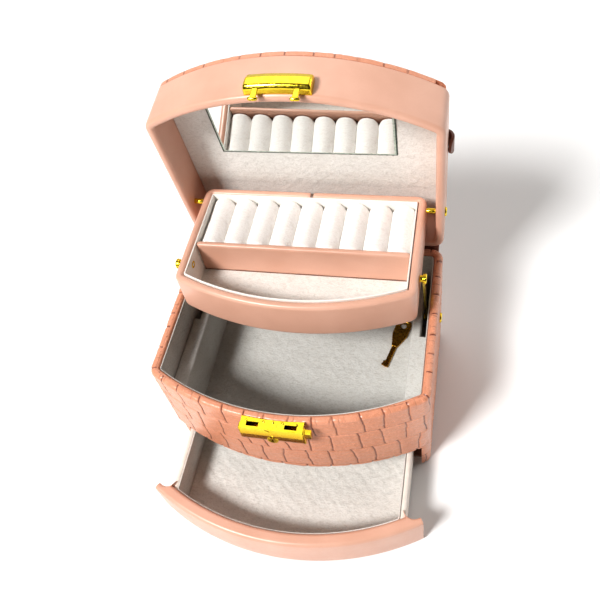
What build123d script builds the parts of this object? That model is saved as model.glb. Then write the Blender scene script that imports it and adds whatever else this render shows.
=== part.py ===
from build123d import *
import math
import os

# Jewellery chest with a bowed front: case, lid, lifting ring tray and drawer.
# Millimetres, +Z up, -Y is the front. The origin is the middle of the case's underside.
# The lid stands open, the tray is raised on its linkage and the drawer is pulled part way out.

# ---- driving dimensions ----
half_width = 87.5
depth = 138.0
bow = 24.8
rim_z = 94.0
band_bottom_z = 31.0
wall = 5.4
liner = 1.2
corner_radius = 8.0
nose_radius = 6.5
rim_round = 2.2

lid_open = 83.0
lid_wall = 4.7
lid_gap = 0.3
lid_band_top = 31.5
lid_panel_v = 26.0
lid_pad_height = 4.5

tray_half = 75.6
tray_rear_y = 83.5
tray_side = 79.4
tray_bow = 16.8
tray_top_z = 129.1
tray_height = 27.7
roll_count = 9

drawer_out = 50.8
drawer_front_thickness = 8.4
drawer_half = 76.5
flange_depth = 3.8
drawer_proud = 3.0

lock_x = -1.5
lock_half = 18.9
lock_top_z = 95.0
lock_depth = 7.2
lock_height = 14.6
hook_spacing = 23.0

# ---- places worked out from them ----
rear_y = depth / 2
corner_y = bow - rear_y
front_y = -rear_y
inner_half = half_width - wall
liner_half = inner_half - liner
bow_radius = (half_width ** 2 + bow ** 2) / (2 * bow)
bow_centre_y = front_y + bow_radius

base_thickness = 2.5
floor_z = band_bottom_z + 2.2
floor_pad_z = floor_z + 1.2
ledge_inner = 70.5
ledge_outer = 76.5
arm_slot_front_y = 13.5
ledge_top_z = 70.0
ledge_round = 1.2

tray_corner_y = tray_rear_y - tray_side
tray_bottom_z = tray_top_z - tray_height
tray_floor_z = tray_bottom_z + 1.6
tray_pad_z = tray_floor_z + 0.9
divider_y = 34.0
divider_top_z = tray_top_z - 0.6
divider_thickness = 4.0

# linkage pivots as (y, z): lid to tray, tray to arm, case to arm
lid_pin = (73.5, 125.5)
tray_pin = (20.5, 122.3)
case_pin = (40.43, 53.7)
arm_x = 77.9
arm_thickness = 1.2
arm_width = 6.0
pin_radius = 1.5
running_gap = 0.05
arm_gap = 0.2
head_round = 0.9

lid_plane = Plane(
    origin=(0, rear_y, rim_z),
    x_dir=(1, 0, 0),
    z_dir=(0, math.sin(math.radians(lid_open)), math.cos(math.radians(lid_open))),
)
lid_corner = corner_y - rear_y
lid_front_u = depth
drawer_plane = Plane(origin=(0, -drawer_out, 0))


# ---- shared outlines and helpers ----
def bowed_face(half, rear, corner, sagitta, inset=0.0, radius=0.0):
    """Face with straight sides and rear and a bowed front, moved in all round by inset."""
    with BuildSketch() as face:
        with BuildLine():
            Polyline((half, corner), (half, rear), (-half, rear), (-half, corner))
            ThreePointArc((-half, corner), (0, corner - sagitta), (half, corner))
        make_face()
        if radius:
            fillet(face.vertices(), radius)
        if inset:
            offset(amount=-inset, kind=Kind.INTERSECTION)
    return face.sketch


def case_face(inset=0.0, radius=corner_radius):
    """The case's outline, moved in by inset."""
    return bowed_face(half_width, rear_y, corner_y, bow, inset, radius)


def lid_face(inset=0.0):
    """The lid's outline in its own plane, with the hinge line at y = 0."""
    return bowed_face(half_width, 0, lid_corner, bow, inset, corner_radius)


def tray_face(inset=0.0):
    """The tray's outline, moved in by inset."""
    return bowed_face(tray_half, tray_rear_y, tray_corner_y, tray_bow, inset, 6.0)


def disc_x(x_low, x_high, centre, radius):
    """Round bar along X between two x values, around centre = (y, z)."""
    with BuildPart() as bar:
        with BuildSketch(Plane.YZ.offset(x_low)):
            with Locations(centre):
                Circle(radius)
        extrude(amount=x_high - x_low)
    return bar.part


def span(sign, inner, outer):
    """Low and high x of a length from inner to outer on one hand."""
    return tuple(sorted((sign * inner, sign * outer)))


def save(piece, name):
    """Label a finished piece and write it as parts/name.step."""
    piece.label = name
    export_step(piece, f"parts/{name}.step")


def sides():
    """The two hands: name and sign of x."""
    return (("left", -1), ("right", 1))


os.makedirs("parts", exist_ok=True)

# ---- case: walls, one rounded ring cut into its boards ----
with BuildPart() as case_shell:
    with BuildSketch(Plane.XY.offset(band_bottom_z)):
        add(case_face())
        add(case_face(wall), mode=Mode.SUBTRACT)
    extrude(amount=rim_z - band_bottom_z)
    fillet(case_shell.faces().sort_by(Axis.Z)[-1].edges(), rim_round)
    with BuildSketch():
        add(case_face())
        add(case_face(wall), mode=Mode.SUBTRACT)
        with Locations((0, rear_y)):
            Rectangle(3 * half_width, depth, mode=Mode.INTERSECT)
    extrude(amount=band_bottom_z)
    with BuildSketch():
        with Locations((0, corner_y / 2)):
            Rectangle(2 * half_width, -corner_y)
            fillet(vertices().sort_by(Axis.Y)[:2], nose_radius)
            Rectangle(2 * inner_half, -corner_y, mode=Mode.SUBTRACT)
    extrude(amount=band_bottom_z)

for hand, sign in sides():
    with BuildPart() as case_side:
        add(case_shell.part)
        with Locations((sign * (inner_half + wall), 0, 0)):
            Box(2 * wall, 2 * depth, 3 * rim_z, mode=Mode.INTERSECT)
        add(disc_x(-half_width - 1, half_width + 1, case_pin, pin_radius), mode=Mode.SUBTRACT)
    save(case_side.part, f"case_side_{hand}")

with BuildPart() as case_back:
    add(case_shell.part)
    with Locations((0, rear_y, 0)):
        Box(2 * inner_half, depth, 3 * rim_z, mode=Mode.INTERSECT)
save(case_back.part, "case_back")

lock_pin_spacing = 24.0
lock_pin_z = 88.0
lock_pin_radius = 0.9
with BuildPart() as case_front_band:
    add(case_shell.part)
    with Locations((0, front_y, 0)):
        Box(2 * inner_half, depth, 3 * rim_z, mode=Mode.INTERSECT)
    with BuildSketch(Plane.XZ.offset(rear_y - 8)):
        with Locations((lock_x, lock_pin_z)), GridLocations(lock_pin_spacing, 1, 2, 1):
            Circle(lock_pin_radius)
    extrude(amount=10, mode=Mode.SUBTRACT)
save(case_front_band.part, "case_front_band")

base_front_y = corner_y + flange_depth + 0.8
with BuildPart() as base_board:
    with BuildSketch():
        add(case_face(wall))
        with Locations((0, base_front_y + depth / 2)):
            Rectangle(2 * inner_half, depth, mode=Mode.INTERSECT)
    extrude(amount=base_thickness)
save(base_board.part, "base_board")

with BuildPart() as middle_board:
    with BuildSketch(Plane.XY.offset(band_bottom_z)):
        add(case_face(wall))
    extrude(amount=floor_z - band_bottom_z)
save(middle_board.part, "middle_board")

liner_top_z = rim_z - 0.9
with BuildPart() as compartment_liner:
    with BuildSketch(Plane.XY.offset(floor_z)):
        add(case_face(wall))
        add(case_face(wall + liner), mode=Mode.SUBTRACT)
    extrude(amount=liner_top_z - floor_z)
    add(disc_x(-half_width, half_width, case_pin, pin_radius), mode=Mode.SUBTRACT)
save(compartment_liner.part, "compartment_liner")

with BuildPart() as floor_pad:
    with BuildSketch(Plane.XY.offset(floor_z)):
        add(case_face(wall + liner + 0.1))
    extrude(amount=floor_pad_z - floor_z)
save(floor_pad.part, "floor_pad")

# ledges run to the bowed front and are cut narrower behind, where the lifting arms fold down
for hand, sign in sides():
    with BuildPart() as ledge:
        with BuildSketch(Plane.XY.offset(floor_pad_z)):
            add(case_face(wall + liner))
            with Locations((sign * (ledge_inner + liner_half) / 2, 0)):
                Rectangle(liner_half - ledge_inner, depth, mode=Mode.INTERSECT)
            with Locations((sign * (ledge_outer + half_width) / 2, arm_slot_front_y + depth / 2)):
                Rectangle(half_width - ledge_outer, depth, mode=Mode.SUBTRACT)
        extrude(amount=ledge_top_z - floor_pad_z)
        inner_edges = ledge.faces().sort_by(Axis.Z)[-1].edges().filter_by(Axis.Y)
        fillet(inner_edges.sort_by(lambda edge: sign * edge.center().X)[0], ledge_round)
    save(ledge.part, f"ledge_{hand}")

# ---- case: drawer rails and pivots ----
rail_gap = 0.4
for hand, sign in sides():
    with BuildPart() as drawer_rail:
        rail_width = inner_half - drawer_half - rail_gap
        with Locations((sign * (inner_half - rail_width / 2), 15, base_thickness)):
            Box(rail_width, 90, 6, align=(Align.CENTER, Align.CENTER, Align.MIN))
    save(drawer_rail.part, f"drawer_rail_{hand}")

pivot_inner_x = ledge_outer + 0.3
washer_radius = 2.6
case_head_radius = 3.5
case_head_height = 1.6
for hand, sign in sides():
    with BuildPart() as case_pivot:
        add(disc_x(*span(sign, pivot_inner_x, half_width), case_pin, pin_radius))
        add(disc_x(*span(sign, pivot_inner_x, arm_x - arm_gap), case_pin, washer_radius))
        add(disc_x(*span(sign, arm_x + arm_thickness + arm_gap, liner_half), case_pin, washer_radius))
        add(disc_x(*span(sign, half_width, half_width + case_head_height), case_pin, case_head_radius))
        dome = case_pivot.faces().sort_by(lambda face: sign * face.center().X)[-1]
        fillet(dome.edges(), head_round)
    save(case_pivot.part, f"case_pivot_{hand}")

# ---- lock on the front band ----
lock_front_y = front_y - lock_depth
lock_bottom_z = lock_top_z - lock_height
lock_shell = 1.1
hook_y = front_y - 3.4
cavity_front_y = lock_front_y + lock_shell + 0.4
cavity_rear_y = front_y - 1.2
plug_z = lock_bottom_z + 3.9
plug_radius = 2.6
slider_y = hook_y + 0.8
slider_z = lock_bottom_z + 1.7
lug_x = lock_x - 7.0
lug_thickness = 1.2

with BuildPart() as lock_case:
    with BuildSketch(Plane.YZ.offset(lock_x - lock_half)):
        with BuildLine():
            Polyline(
                (front_y + 2, lock_bottom_z),
                (lock_front_y + 1.4, lock_bottom_z),
                (lock_front_y, lock_bottom_z + 4),
                (lock_front_y, lock_top_z - 6),
                (lock_front_y + 1, lock_top_z),
                (front_y + 2, lock_top_z),
                close=True,
            )
        make_face()
    extrude(amount=2 * lock_half)
    fillet(lock_case.edges().filter_by(Axis.X).group_by(Axis.Y)[0], 0.6)
    with BuildSketch(Plane.XY.offset(lock_bottom_z - 1)):
        with Locations((0, bow_centre_y)):
            Circle(bow_radius)
    extrude(amount=20, mode=Mode.SUBTRACT)
    with Locations((lock_x, (cavity_front_y + cavity_rear_y) / 2, (lock_bottom_z + lock_top_z) / 2)):
        Box(
            2 * lock_half - 2 * lock_shell,
            cavity_rear_y - cavity_front_y,
            lock_top_z - lock_bottom_z - 2 * lock_shell,
            mode=Mode.SUBTRACT,
        )
    with Locations((lug_x, cavity_rear_y + 0.5, lock_top_z - 0.5)):
        Box(lug_thickness, 3.0, 7.4, align=(Align.CENTER, Align.MAX, Align.MAX))
    with BuildSketch(Plane.XY.offset(lock_top_z - 2)):
        with Locations((lock_x, hook_y)), GridLocations(hook_spacing, 1, 2, 1):
            Rectangle(7.4, 2.8)
    extrude(amount=4, mode=Mode.SUBTRACT)
    with BuildSketch(Plane.YZ.offset(lock_x + lock_half - 2)):
        with Locations((hook_y - 0.2, lock_top_z - 5.5)):
            Rectangle(3.6, 6.6)
    extrude(amount=4, mode=Mode.SUBTRACT)
    with BuildSketch(Plane.XZ.offset(-cavity_front_y)):
        with Locations((lock_x, plug_z)):
            Circle(plug_radius + running_gap)
    extrude(amount=5, mode=Mode.SUBTRACT)
save(lock_case.part, "lock_case")

with BuildPart() as lock_pins:
    with BuildSketch(Plane.XZ.offset(rear_y - wall)):
        with Locations((lock_x, lock_pin_z)), GridLocations(lock_pin_spacing, 1, 2, 1):
            Circle(lock_pin_radius)
    extrude(amount=wall - 0.9)
save(lock_pins.part, "lock_pins")

# the latch slides left when its button is pushed, against a spring between two lugs
button_x = lock_x + lock_half - lock_shell
slider_left = lock_x - hook_spacing / 2 - 4.6
slider_right = button_x - 0.6
spring_z = slider_z + 6.6
with BuildPart() as latch_slider:
    with Locations(((slider_left + slider_right) / 2, slider_y, slider_z)):
        Box(slider_right - slider_left, 1.4, 4.2, align=(Align.CENTER, Align.CENTER, Align.MIN))
    catches = (lock_x - hook_spacing / 2 - 4.1, lock_x - 0.5, lock_x + hook_spacing / 2 - 4.1)
    for catch_x in catches:
        with Locations((catch_x, slider_y, slider_z)):
            Box(1.0, 1.4, 8.4, align=(Align.CENTER, Align.CENTER, Align.MIN))
    with Locations((slider_right, slider_y, slider_z)):
        Box(1.4, 1.4, 9.5, align=(Align.MAX, Align.CENTER, Align.MIN))
save(latch_slider.part, "latch_slider")

with BuildPart() as push_button:
    with Locations((slider_right, hook_y - 0.2, lock_top_z - 5.5)):
        Box(6.2, 3.0, 6.0, align=(Align.MIN, Align.CENTER, Align.CENTER))
    fillet(push_button.faces().sort_by(Axis.X)[-1].edges(), 0.5)
save(push_button.part, "push_button")

with BuildPart() as latch_spring:
    with BuildSketch(Plane.YZ.offset(lug_x + lug_thickness / 2 + 0.1)):
        with Locations((slider_y, spring_z)):
            Circle(1.3)
            Circle(0.8, mode=Mode.SUBTRACT)
    extrude(amount=lock_x - 1.1 - lug_x - lug_thickness / 2 - 0.1)
save(latch_spring.part, "latch_spring")

with BuildPart() as key_plug:
    with BuildSketch(Plane.XZ.offset(-cavity_front_y - 0.5)):
        with Locations((lock_x, plug_z)):
            Circle(plug_radius)
    extrude(amount=cavity_front_y + 0.5 - lock_front_y + 0.5)
    with BuildSketch(Plane.XZ.offset(-lock_front_y - 1.6)):
        with Locations((lock_x, plug_z)):
            Rectangle(1.1, 3.4)
    extrude(amount=4, mode=Mode.SUBTRACT)
save(key_plug.part, "key_plug")

# ---- spine: leather strip across the back, bent between the case and the open lid ----
spine_width = 2 * half_width - 6
spine_thickness = 0.8
case_flap = 12.0
lid_flap = 10.0
lean = math.radians(lid_open)
along = (math.sin(lean), math.cos(lean))
below = (math.cos(lean) * spine_thickness, -math.sin(lean) * spine_thickness)
bend_z = rim_z + (below[1] - (below[0] - spine_thickness) / along[0] * along[1])
with BuildPart() as spine_leather:
    with BuildSketch(Plane.YZ.offset(-spine_width / 2)):
        with BuildLine():
            Polyline(
                (rear_y, rim_z - case_flap),
                (rear_y + spine_thickness, rim_z - case_flap),
                (rear_y + spine_thickness, bend_z),
                (rear_y + along[0] * lid_flap + below[0], rim_z + along[1] * lid_flap + below[1]),
                (rear_y + along[0] * lid_flap, rim_z + along[1] * lid_flap),
                (rear_y, rim_z),
                close=True,
            )
        make_face()
    extrude(amount=spine_width)
save(spine_leather.part, "spine_leather")

# ---- lid ----
with BuildPart() as lid_band:
    with BuildSketch(lid_plane.offset(lid_gap)):
        add(lid_face())
        add(lid_face(lid_wall), mode=Mode.SUBTRACT)
    extrude(amount=lid_band_top - lid_gap)
    rim = lid_band.faces().sort_by(lambda face: lid_plane.to_local_coords(face.center()).Z)[0]
    fillet(rim.edges(), 1.8)
    add(disc_x(-half_width - 1, half_width + 1, lid_pin, pin_radius), mode=Mode.SUBTRACT)
save(lid_band.part, "lid_band")

board_v = lid_band_top - 3.0
with BuildPart() as lid_board:
    with BuildSketch(lid_plane.offset(board_v)):
        add(lid_face(lid_wall))
    extrude(amount=lid_band_top - board_v)
save(lid_board.part, "lid_board")

with BuildPart() as lid_pad:
    with BuildSketch(lid_plane.offset(lid_band_top)):
        add(lid_face(0.4))
    extrude(amount=lid_pad_height)
    crown = lid_pad.faces().sort_by(lambda face: lid_plane.to_local_coords(face.center()).Z)[-1]
    fillet(crown.edges(), 3.5)
save(lid_pad.part, "lid_pad")

with BuildPart() as lid_panel:
    with BuildSketch(lid_plane.offset(lid_panel_v)):
        add(lid_face(lid_wall + 0.1))
    extrude(amount=board_v - lid_panel_v)
save(lid_panel.part, "lid_panel")

mirror_half = 57.3
mirror_low = 62.7
mirror_high = 112.7
mirror_thickness = 1.5
with BuildPart() as mirror_glass:
    with BuildSketch(lid_plane.offset(lid_panel_v - mirror_thickness)):
        with Locations((0, -(mirror_low + mirror_high) / 2)):
            Rectangle(2 * mirror_half, mirror_high - mirror_low)
    extrude(amount=mirror_thickness)
save(mirror_glass.part, "mirror_glass")

# hasp: half-round cover on the lid's front with two hooks that drop into the lock
hasp_low_v = 1.6
hasp_high_v = 13.5
hasp_front_u = lid_front_u + 6.0
hook_u = rear_y - hook_y
hook_tip_v = -6.4
lid_side_plane = Plane(origin=(0, rear_y, rim_z), x_dir=lid_plane.y_dir, z_dir=(1, 0, 0))
with BuildPart() as hasp_cover:
    with BuildSketch(lid_side_plane.offset(lock_x - lock_half)):
        with BuildLine():
            Line((-lid_front_u + 2, hasp_low_v), (-hasp_front_u + 1.5, hasp_low_v))
            ThreePointArc(
                (-hasp_front_u + 1.5, hasp_low_v),
                (-hasp_front_u, (hasp_low_v + hasp_high_v) / 2),
                (-lid_front_u - 1.0, hasp_high_v),
            )
            Line((-lid_front_u - 1.0, hasp_high_v), (-lid_front_u + 2, hasp_high_v))
            Line((-lid_front_u + 2, hasp_high_v), (-lid_front_u + 2, hasp_low_v))
        make_face()
    extrude(amount=2 * lock_half)
    with BuildSketch(lid_plane):
        with Locations((0, bow_centre_y - rear_y)):
            Circle(bow_radius)
    extrude(amount=20, mode=Mode.SUBTRACT)
save(hasp_cover.part, "hasp_cover")

with BuildPart() as hasp_hooks:
    with BuildSketch(lid_plane.offset(hook_tip_v)):
        with Locations((lock_x, -hook_u)), GridLocations(hook_spacing, 1, 2, 1):
            Rectangle(5, 1.6)
    extrude(amount=hasp_low_v - hook_tip_v)
    with BuildSketch(lid_plane.offset(hook_tip_v)):
        with Locations((lock_x - 2.85, -hook_u)), GridLocations(hook_spacing, 1, 2, 1):
            Rectangle(0.7, 1.6)
    extrude(amount=1.6)
save(hasp_hooks.part, "hasp_hooks")

# pins that carry the tray's rear pivots
lid_sleeve_radius = 1.8
lid_head_radius = 3.0
lid_head_height = 1.3
for hand, sign in sides():
    with BuildPart() as lid_pivot:
        add(disc_x(*span(sign, tray_half - 4.0, half_width), lid_pin, pin_radius))
        add(disc_x(*span(sign, tray_half + 0.6, half_width - lid_wall), lid_pin, lid_sleeve_radius))
        add(disc_x(*span(sign, half_width, half_width + lid_head_height), lid_pin, lid_head_radius))
        dome = lid_pivot.faces().sort_by(lambda face: sign * face.center().X)[-1]
        fillet(dome.edges(), head_round)
    save(lid_pivot.part, f"lid_pivot_{hand}")

# handle: flat strap over the top, its ends turned down the sides and glued there
strap_width = 15.0
strap_thickness = 2.0
strap_rise = 9.0
strap_end_v = 26.0
pad_top_v = lid_band_top + lid_pad_height
strap_x = half_width + strap_thickness / 2
strap_plane = Plane(
    origin=lid_plane.from_local_coords((0, -(depth - strap_width) / 2, 0)),
    x_dir=(1, 0, 0),
    z_dir=-lid_plane.y_dir,
)
with BuildPart() as handle_strap:
    with BuildSketch(strap_plane):
        with BuildLine():
            FilletPolyline(
                (-strap_x, strap_end_v),
                (-strap_x, pad_top_v + 1),
                (-half_width + 14, pad_top_v + 3.0),
                (0, pad_top_v + strap_rise + strap_thickness),
                (half_width - 14, pad_top_v + 3.0),
                (strap_x, pad_top_v + 1),
                (strap_x, strap_end_v),
                radius=(3, 20, 200, 20, 3),
            )
        trace(line_width=strap_thickness)
    extrude(amount=strap_width)
save(handle_strap.part, "handle_strap")

# ---- tray ----
tray_wall_thickness = 5.2
tray_liner = 1.1
with BuildPart() as tray_wall:
    with BuildSketch(Plane.XY.offset(tray_bottom_z)):
        add(tray_face())
        add(tray_face(tray_wall_thickness), mode=Mode.SUBTRACT)
    extrude(amount=tray_height)
    fillet(tray_wall.faces().sort_by(Axis.Z)[-1].edges(), 2.2)
    fillet(tray_wall.faces().sort_by(Axis.Z)[0].outer_wire().edges(), 1.5)
    add(disc_x(-tray_half - 1, tray_half + 1, lid_pin, pin_radius + running_gap), mode=Mode.SUBTRACT)
save(tray_wall.part, "tray_wall")

with BuildPart() as tray_bottom:
    with BuildSketch(Plane.XY.offset(tray_bottom_z)):
        add(tray_face(tray_wall_thickness))
    extrude(amount=tray_floor_z - tray_bottom_z)
save(tray_bottom.part, "tray_bottom")

inside = tray_wall_thickness + tray_liner
with BuildPart() as tray_liner_ring:
    with BuildSketch(Plane.XY.offset(tray_floor_z)):
        add(tray_face(tray_wall_thickness))
        add(tray_face(inside), mode=Mode.SUBTRACT)
    extrude(amount=tray_top_z - 0.8 - tray_floor_z)
save(tray_liner_ring.part, "tray_liner")

tray_inner_half = tray_half - inside
tray_inner_rear = tray_rear_y - inside
with BuildPart() as tray_divider:
    with BuildSketch(Plane.YZ.offset(-tray_inner_half)):
        with Locations((divider_y, (tray_floor_z + divider_top_z) / 2)):
            Rectangle(divider_thickness, divider_top_z - tray_floor_z)
    extrude(amount=2 * tray_inner_half)
    fillet(tray_divider.faces().sort_by(Axis.Z)[-1].edges().filter_by(Axis.X), 1.9)
save(tray_divider.part, "tray_divider")

divider_front = divider_y - divider_thickness / 2
divider_rear = divider_y + divider_thickness / 2
for name, low, high in (
    ("tray_floor_pad", tray_corner_y - tray_bow, divider_front),
    ("ring_base_pad", divider_rear, tray_inner_rear),
):
    with BuildPart() as pad:
        with BuildSketch(Plane.XY.offset(tray_floor_z)):
            add(tray_face(inside))
            with Locations((0, (low + high) / 2)):
                Rectangle(2 * tray_half, high - low, mode=Mode.INTERSECT)
        extrude(amount=tray_pad_z - tray_floor_z)
    save(pad.part, name)

roll_pitch = 2 * tray_inner_half / roll_count
roll_width = roll_pitch - 0.3
roll_top_z = tray_top_z - 1.6
roll_length = tray_inner_rear - divider_rear - 0.6
for index in range(roll_count):
    with BuildPart() as roll:
        with BuildSketch(Plane.XZ.offset(-divider_rear - 0.3 - roll_length)):
            centre_x = (index - (roll_count - 1) / 2) * roll_pitch
            with Locations((centre_x, roll_top_z - roll_width / 2)):
                Circle(roll_width / 2)
            with Locations((centre_x, (roll_top_z - roll_width / 2 + tray_pad_z) / 2)):
                Rectangle(roll_width, roll_top_z - roll_width / 2 - tray_pad_z)
        extrude(amount=roll_length)
    save(roll.part, f"ring_roll_{index + 1}")

with BuildPart() as tray_eyelets:
    for hand, sign in sides():
        face_x = sorted((sign * (tray_inner_half - 0.5), sign * tray_inner_half))
        add(disc_x(*face_x, tray_pin, 2.4))
        add(disc_x(*face_x, tray_pin, 1.2), mode=Mode.SUBTRACT)
save(tray_eyelets.part, "tray_eyelets")

# ---- lifting arms ----
arm_middle = ((case_pin[0] + tray_pin[0]) / 2, (case_pin[1] + tray_pin[1]) / 2)
arm_length = math.dist(case_pin, tray_pin)
tray_gap = 0.35
arm_collar_radius = 2.2
arm_head_radius = 3.3
arm_head_height = 1.1
arm_angle = math.degrees(math.atan2(tray_pin[1] - case_pin[1], tray_pin[0] - case_pin[0]))
for hand, sign in sides():
    near = min(sign * arm_x, sign * (arm_x + arm_thickness))
    with BuildPart() as arm:
        with BuildSketch(Plane.YZ.offset(near)):
            with Locations(Location(arm_middle, arm_angle)):
                SlotCenterToCenter(arm_length, arm_width)
            with Locations(case_pin):
                Circle(pin_radius + running_gap, mode=Mode.SUBTRACT)
            with Locations(tray_pin):
                Circle(pin_radius, mode=Mode.SUBTRACT)
        extrude(amount=arm_thickness)
    save(arm.part, f"arm_{hand}")

    arm_outer = arm_x + arm_thickness
    with BuildPart() as arm_rivet:
        add(disc_x(*span(sign, tray_half + tray_gap, arm_outer), tray_pin, pin_radius))
        add(disc_x(*span(sign, tray_half + tray_gap, arm_x), tray_pin, arm_collar_radius))
        add(disc_x(*span(sign, arm_outer, arm_outer + arm_head_height), tray_pin, arm_head_radius))
        dome = arm_rivet.faces().sort_by(lambda face: sign * face.center().X)[-1]
        fillet(dome.edges(), arm_head_height * 0.7)
    save(arm_rivet.part, f"arm_rivet_{hand}")

# ---- drawer, drawn closed and moved out with its plane ----
front_low_z = 0.8
front_high_z = band_bottom_z - 0.8
box_low_z = base_thickness + 0.4
box_high_z = 27.5
drawer_rear_y = rear_y - wall - 3.0
drawer_board = 3.6
drawer_liner = 0.9
drawer_liner_half = drawer_half - drawer_board - drawer_liner
scoop_centre = (half_width - nose_radius, corner_y + nose_radius + drawer_proud)
scoop_gap = 0.5
flange_round = 0.8


def drawer_inside(half, inset):
    """The drawer box's inner outline: straight sides and rear, front parallel to the bow."""
    rear = drawer_rear_y - (drawer_half - half)
    with BuildSketch() as face:
        add(case_face(inset, 0))
        with Locations((0, rear - depth / 2)):
            Rectangle(2 * half, depth, mode=Mode.INTERSECT)
    return face.sketch


with BuildPart() as drawer_front:
    with BuildSketch(drawer_plane.offset(front_low_z)):
        add(case_face(0, flange_round))
        with Locations((0, corner_y + flange_depth + drawer_proud + depth / 2)):
            Rectangle(2 * half_width + 2, depth, mode=Mode.SUBTRACT)
        add(drawer_inside(drawer_half, drawer_front_thickness), mode=Mode.SUBTRACT)
        for hand, sign in sides():
            with Locations((sign * scoop_centre[0], scoop_centre[1])):
                Circle(nose_radius + scoop_gap, mode=Mode.SUBTRACT)
    extrude(amount=front_high_z - front_low_z)
    fillet(drawer_front.faces().sort_by(Axis.Z)[-1].edges().sort_by(SortBy.LENGTH)[-1], 1.0)
save(drawer_front.part, "drawer_front")

with BuildPart() as drawer_box:
    with BuildSketch(drawer_plane.offset(box_low_z)):
        add(drawer_inside(drawer_half, drawer_front_thickness))
        add(drawer_inside(drawer_half - drawer_board, 0), mode=Mode.SUBTRACT)
    extrude(amount=box_high_z - box_low_z)
    fillet(drawer_box.faces().sort_by(Axis.Z)[-1].edges().filter_by(Axis.Y), 1.2)
save(drawer_box.part, "drawer_box")

with BuildPart() as drawer_bottom:
    with BuildSketch(drawer_plane.offset(box_low_z)):
        add(drawer_inside(drawer_half - drawer_board, drawer_front_thickness))
    extrude(amount=2.0)
save(drawer_bottom.part, "drawer_bottom")

drawer_floor_z = box_low_z + 2.0
with BuildPart() as drawer_liner_ring:
    with BuildSketch(drawer_plane.offset(drawer_floor_z)):
        add(drawer_inside(drawer_half - drawer_board, drawer_front_thickness))
        add(
            drawer_inside(drawer_liner_half, drawer_front_thickness + drawer_liner),
            mode=Mode.SUBTRACT,
        )
    extrude(amount=box_high_z + 0.4 - drawer_floor_z)
save(drawer_liner_ring.part, "drawer_liner")

with BuildPart() as drawer_floor_pad:
    with BuildSketch(drawer_plane.offset(drawer_floor_z)):
        add(drawer_inside(drawer_liner_half, drawer_front_thickness + drawer_liner))
    extrude(amount=1.2)
save(drawer_floor_pad.part, "drawer_floor_pad")

# ---- key, lying loose in the compartment ----
key_plane = Plane(origin=(57.5, 26, floor_pad_z + 0.3), x_dir=(0.27, 1, 0), z_dir=(0, 0, 1))
key_thickness = 1.6
head_half = 5.6
head_length = 22.5
neck_half = 2.0
shank_length = 18.2
with BuildPart() as key:
    with BuildSketch(key_plane):
        with BuildLine():
            Polyline(
                (-1, -neck_half),
                (9.5, -head_half),
                (head_length, -head_half),
                (head_length, head_half),
                (9.5, head_half),
                (-1, neck_half),
                close=True,
            )
        make_face()
        fillet(vertices().sort_by(Axis.X)[2:], 3.0)
        with Locations((head_length - 5.0, 0)):
            Circle(2.2, mode=Mode.SUBTRACT)
        with Locations((-shank_length / 2, 0)):
            Rectangle(shank_length, 3.4)
        with Locations((-shank_length + 2.2, 2.0)):
            Rectangle(3.6, 2.8)
    extrude(amount=key_thickness)
save(key.part, "key")
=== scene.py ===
import math
from collections import namedtuple

import bmesh
import bpy
import numpy as np
from mathutils import Matrix, Vector


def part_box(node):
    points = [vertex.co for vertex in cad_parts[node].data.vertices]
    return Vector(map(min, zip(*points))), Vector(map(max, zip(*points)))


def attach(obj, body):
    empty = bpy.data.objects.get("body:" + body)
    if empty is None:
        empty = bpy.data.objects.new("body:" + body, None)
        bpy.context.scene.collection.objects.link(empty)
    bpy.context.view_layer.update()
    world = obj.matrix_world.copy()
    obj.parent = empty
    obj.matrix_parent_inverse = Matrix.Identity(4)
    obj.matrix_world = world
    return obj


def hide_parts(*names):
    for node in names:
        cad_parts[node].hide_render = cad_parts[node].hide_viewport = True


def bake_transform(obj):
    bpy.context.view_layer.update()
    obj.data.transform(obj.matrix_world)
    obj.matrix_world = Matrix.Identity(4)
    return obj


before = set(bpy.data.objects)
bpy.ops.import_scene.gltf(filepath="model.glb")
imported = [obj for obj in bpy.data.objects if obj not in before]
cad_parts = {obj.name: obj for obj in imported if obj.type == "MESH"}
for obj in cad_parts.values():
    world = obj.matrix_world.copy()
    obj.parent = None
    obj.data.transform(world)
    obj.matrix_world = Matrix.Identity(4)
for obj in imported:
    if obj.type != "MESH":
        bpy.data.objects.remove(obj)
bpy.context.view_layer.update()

# Shapes are worked out in millimetres, in the row frame, and made in metres.
MM = 0.001


def low(node):
    """A CAD node's lowest corner, in millimetres."""
    return np.array(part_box(node)[0]) / MM


def high(node):
    """A CAD node's highest corner, in millimetres."""
    return np.array(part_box(node)[1]) / MM


# ---- outlines: straight sides and rear, bowed front ----
Outline = namedtuple("Outline", "half rear corner bow radius")
Loop = namedtuple("Loop", "xy normal run front")

CASE_BOW = 24.8
TRAY_BOW = 16.8
CASE_WALL = 5.4
LID_WALL = 4.7
TRAY_WALL = 5.2
NOSE = 6.5
DRAWER_PROUD = 3.0
SLOT_FRONT, SLOT_IN = 13.5, 76.5
LINER = 1.2
LID_OPEN = math.radians(83)

half_width = high("case_side_right")[0]
rear_y = high("case_back")[1]
front_y = low("case_front_band")[1]
rim_z = high("case_front_band")[2]
band_z = low("case_front_band")[2]
CASE = Outline(half_width, rear_y, front_y + CASE_BOW, CASE_BOW, 8.0)
LID = Outline(half_width, 0.0, CASE.corner - rear_y, CASE_BOW, 8.0)
TRAY = Outline(high("tray_wall")[0], high("tray_wall")[1], low("tray_wall")[1] + TRAY_BOW, TRAY_BOW, 6.0)
drawer_shift = low("drawer_front")[1] - front_y

lid_matrix = Matrix.Translation((0, rear_y, rim_z)) @ Matrix.Rotation(-LID_OPEN, 4, "X")


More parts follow.
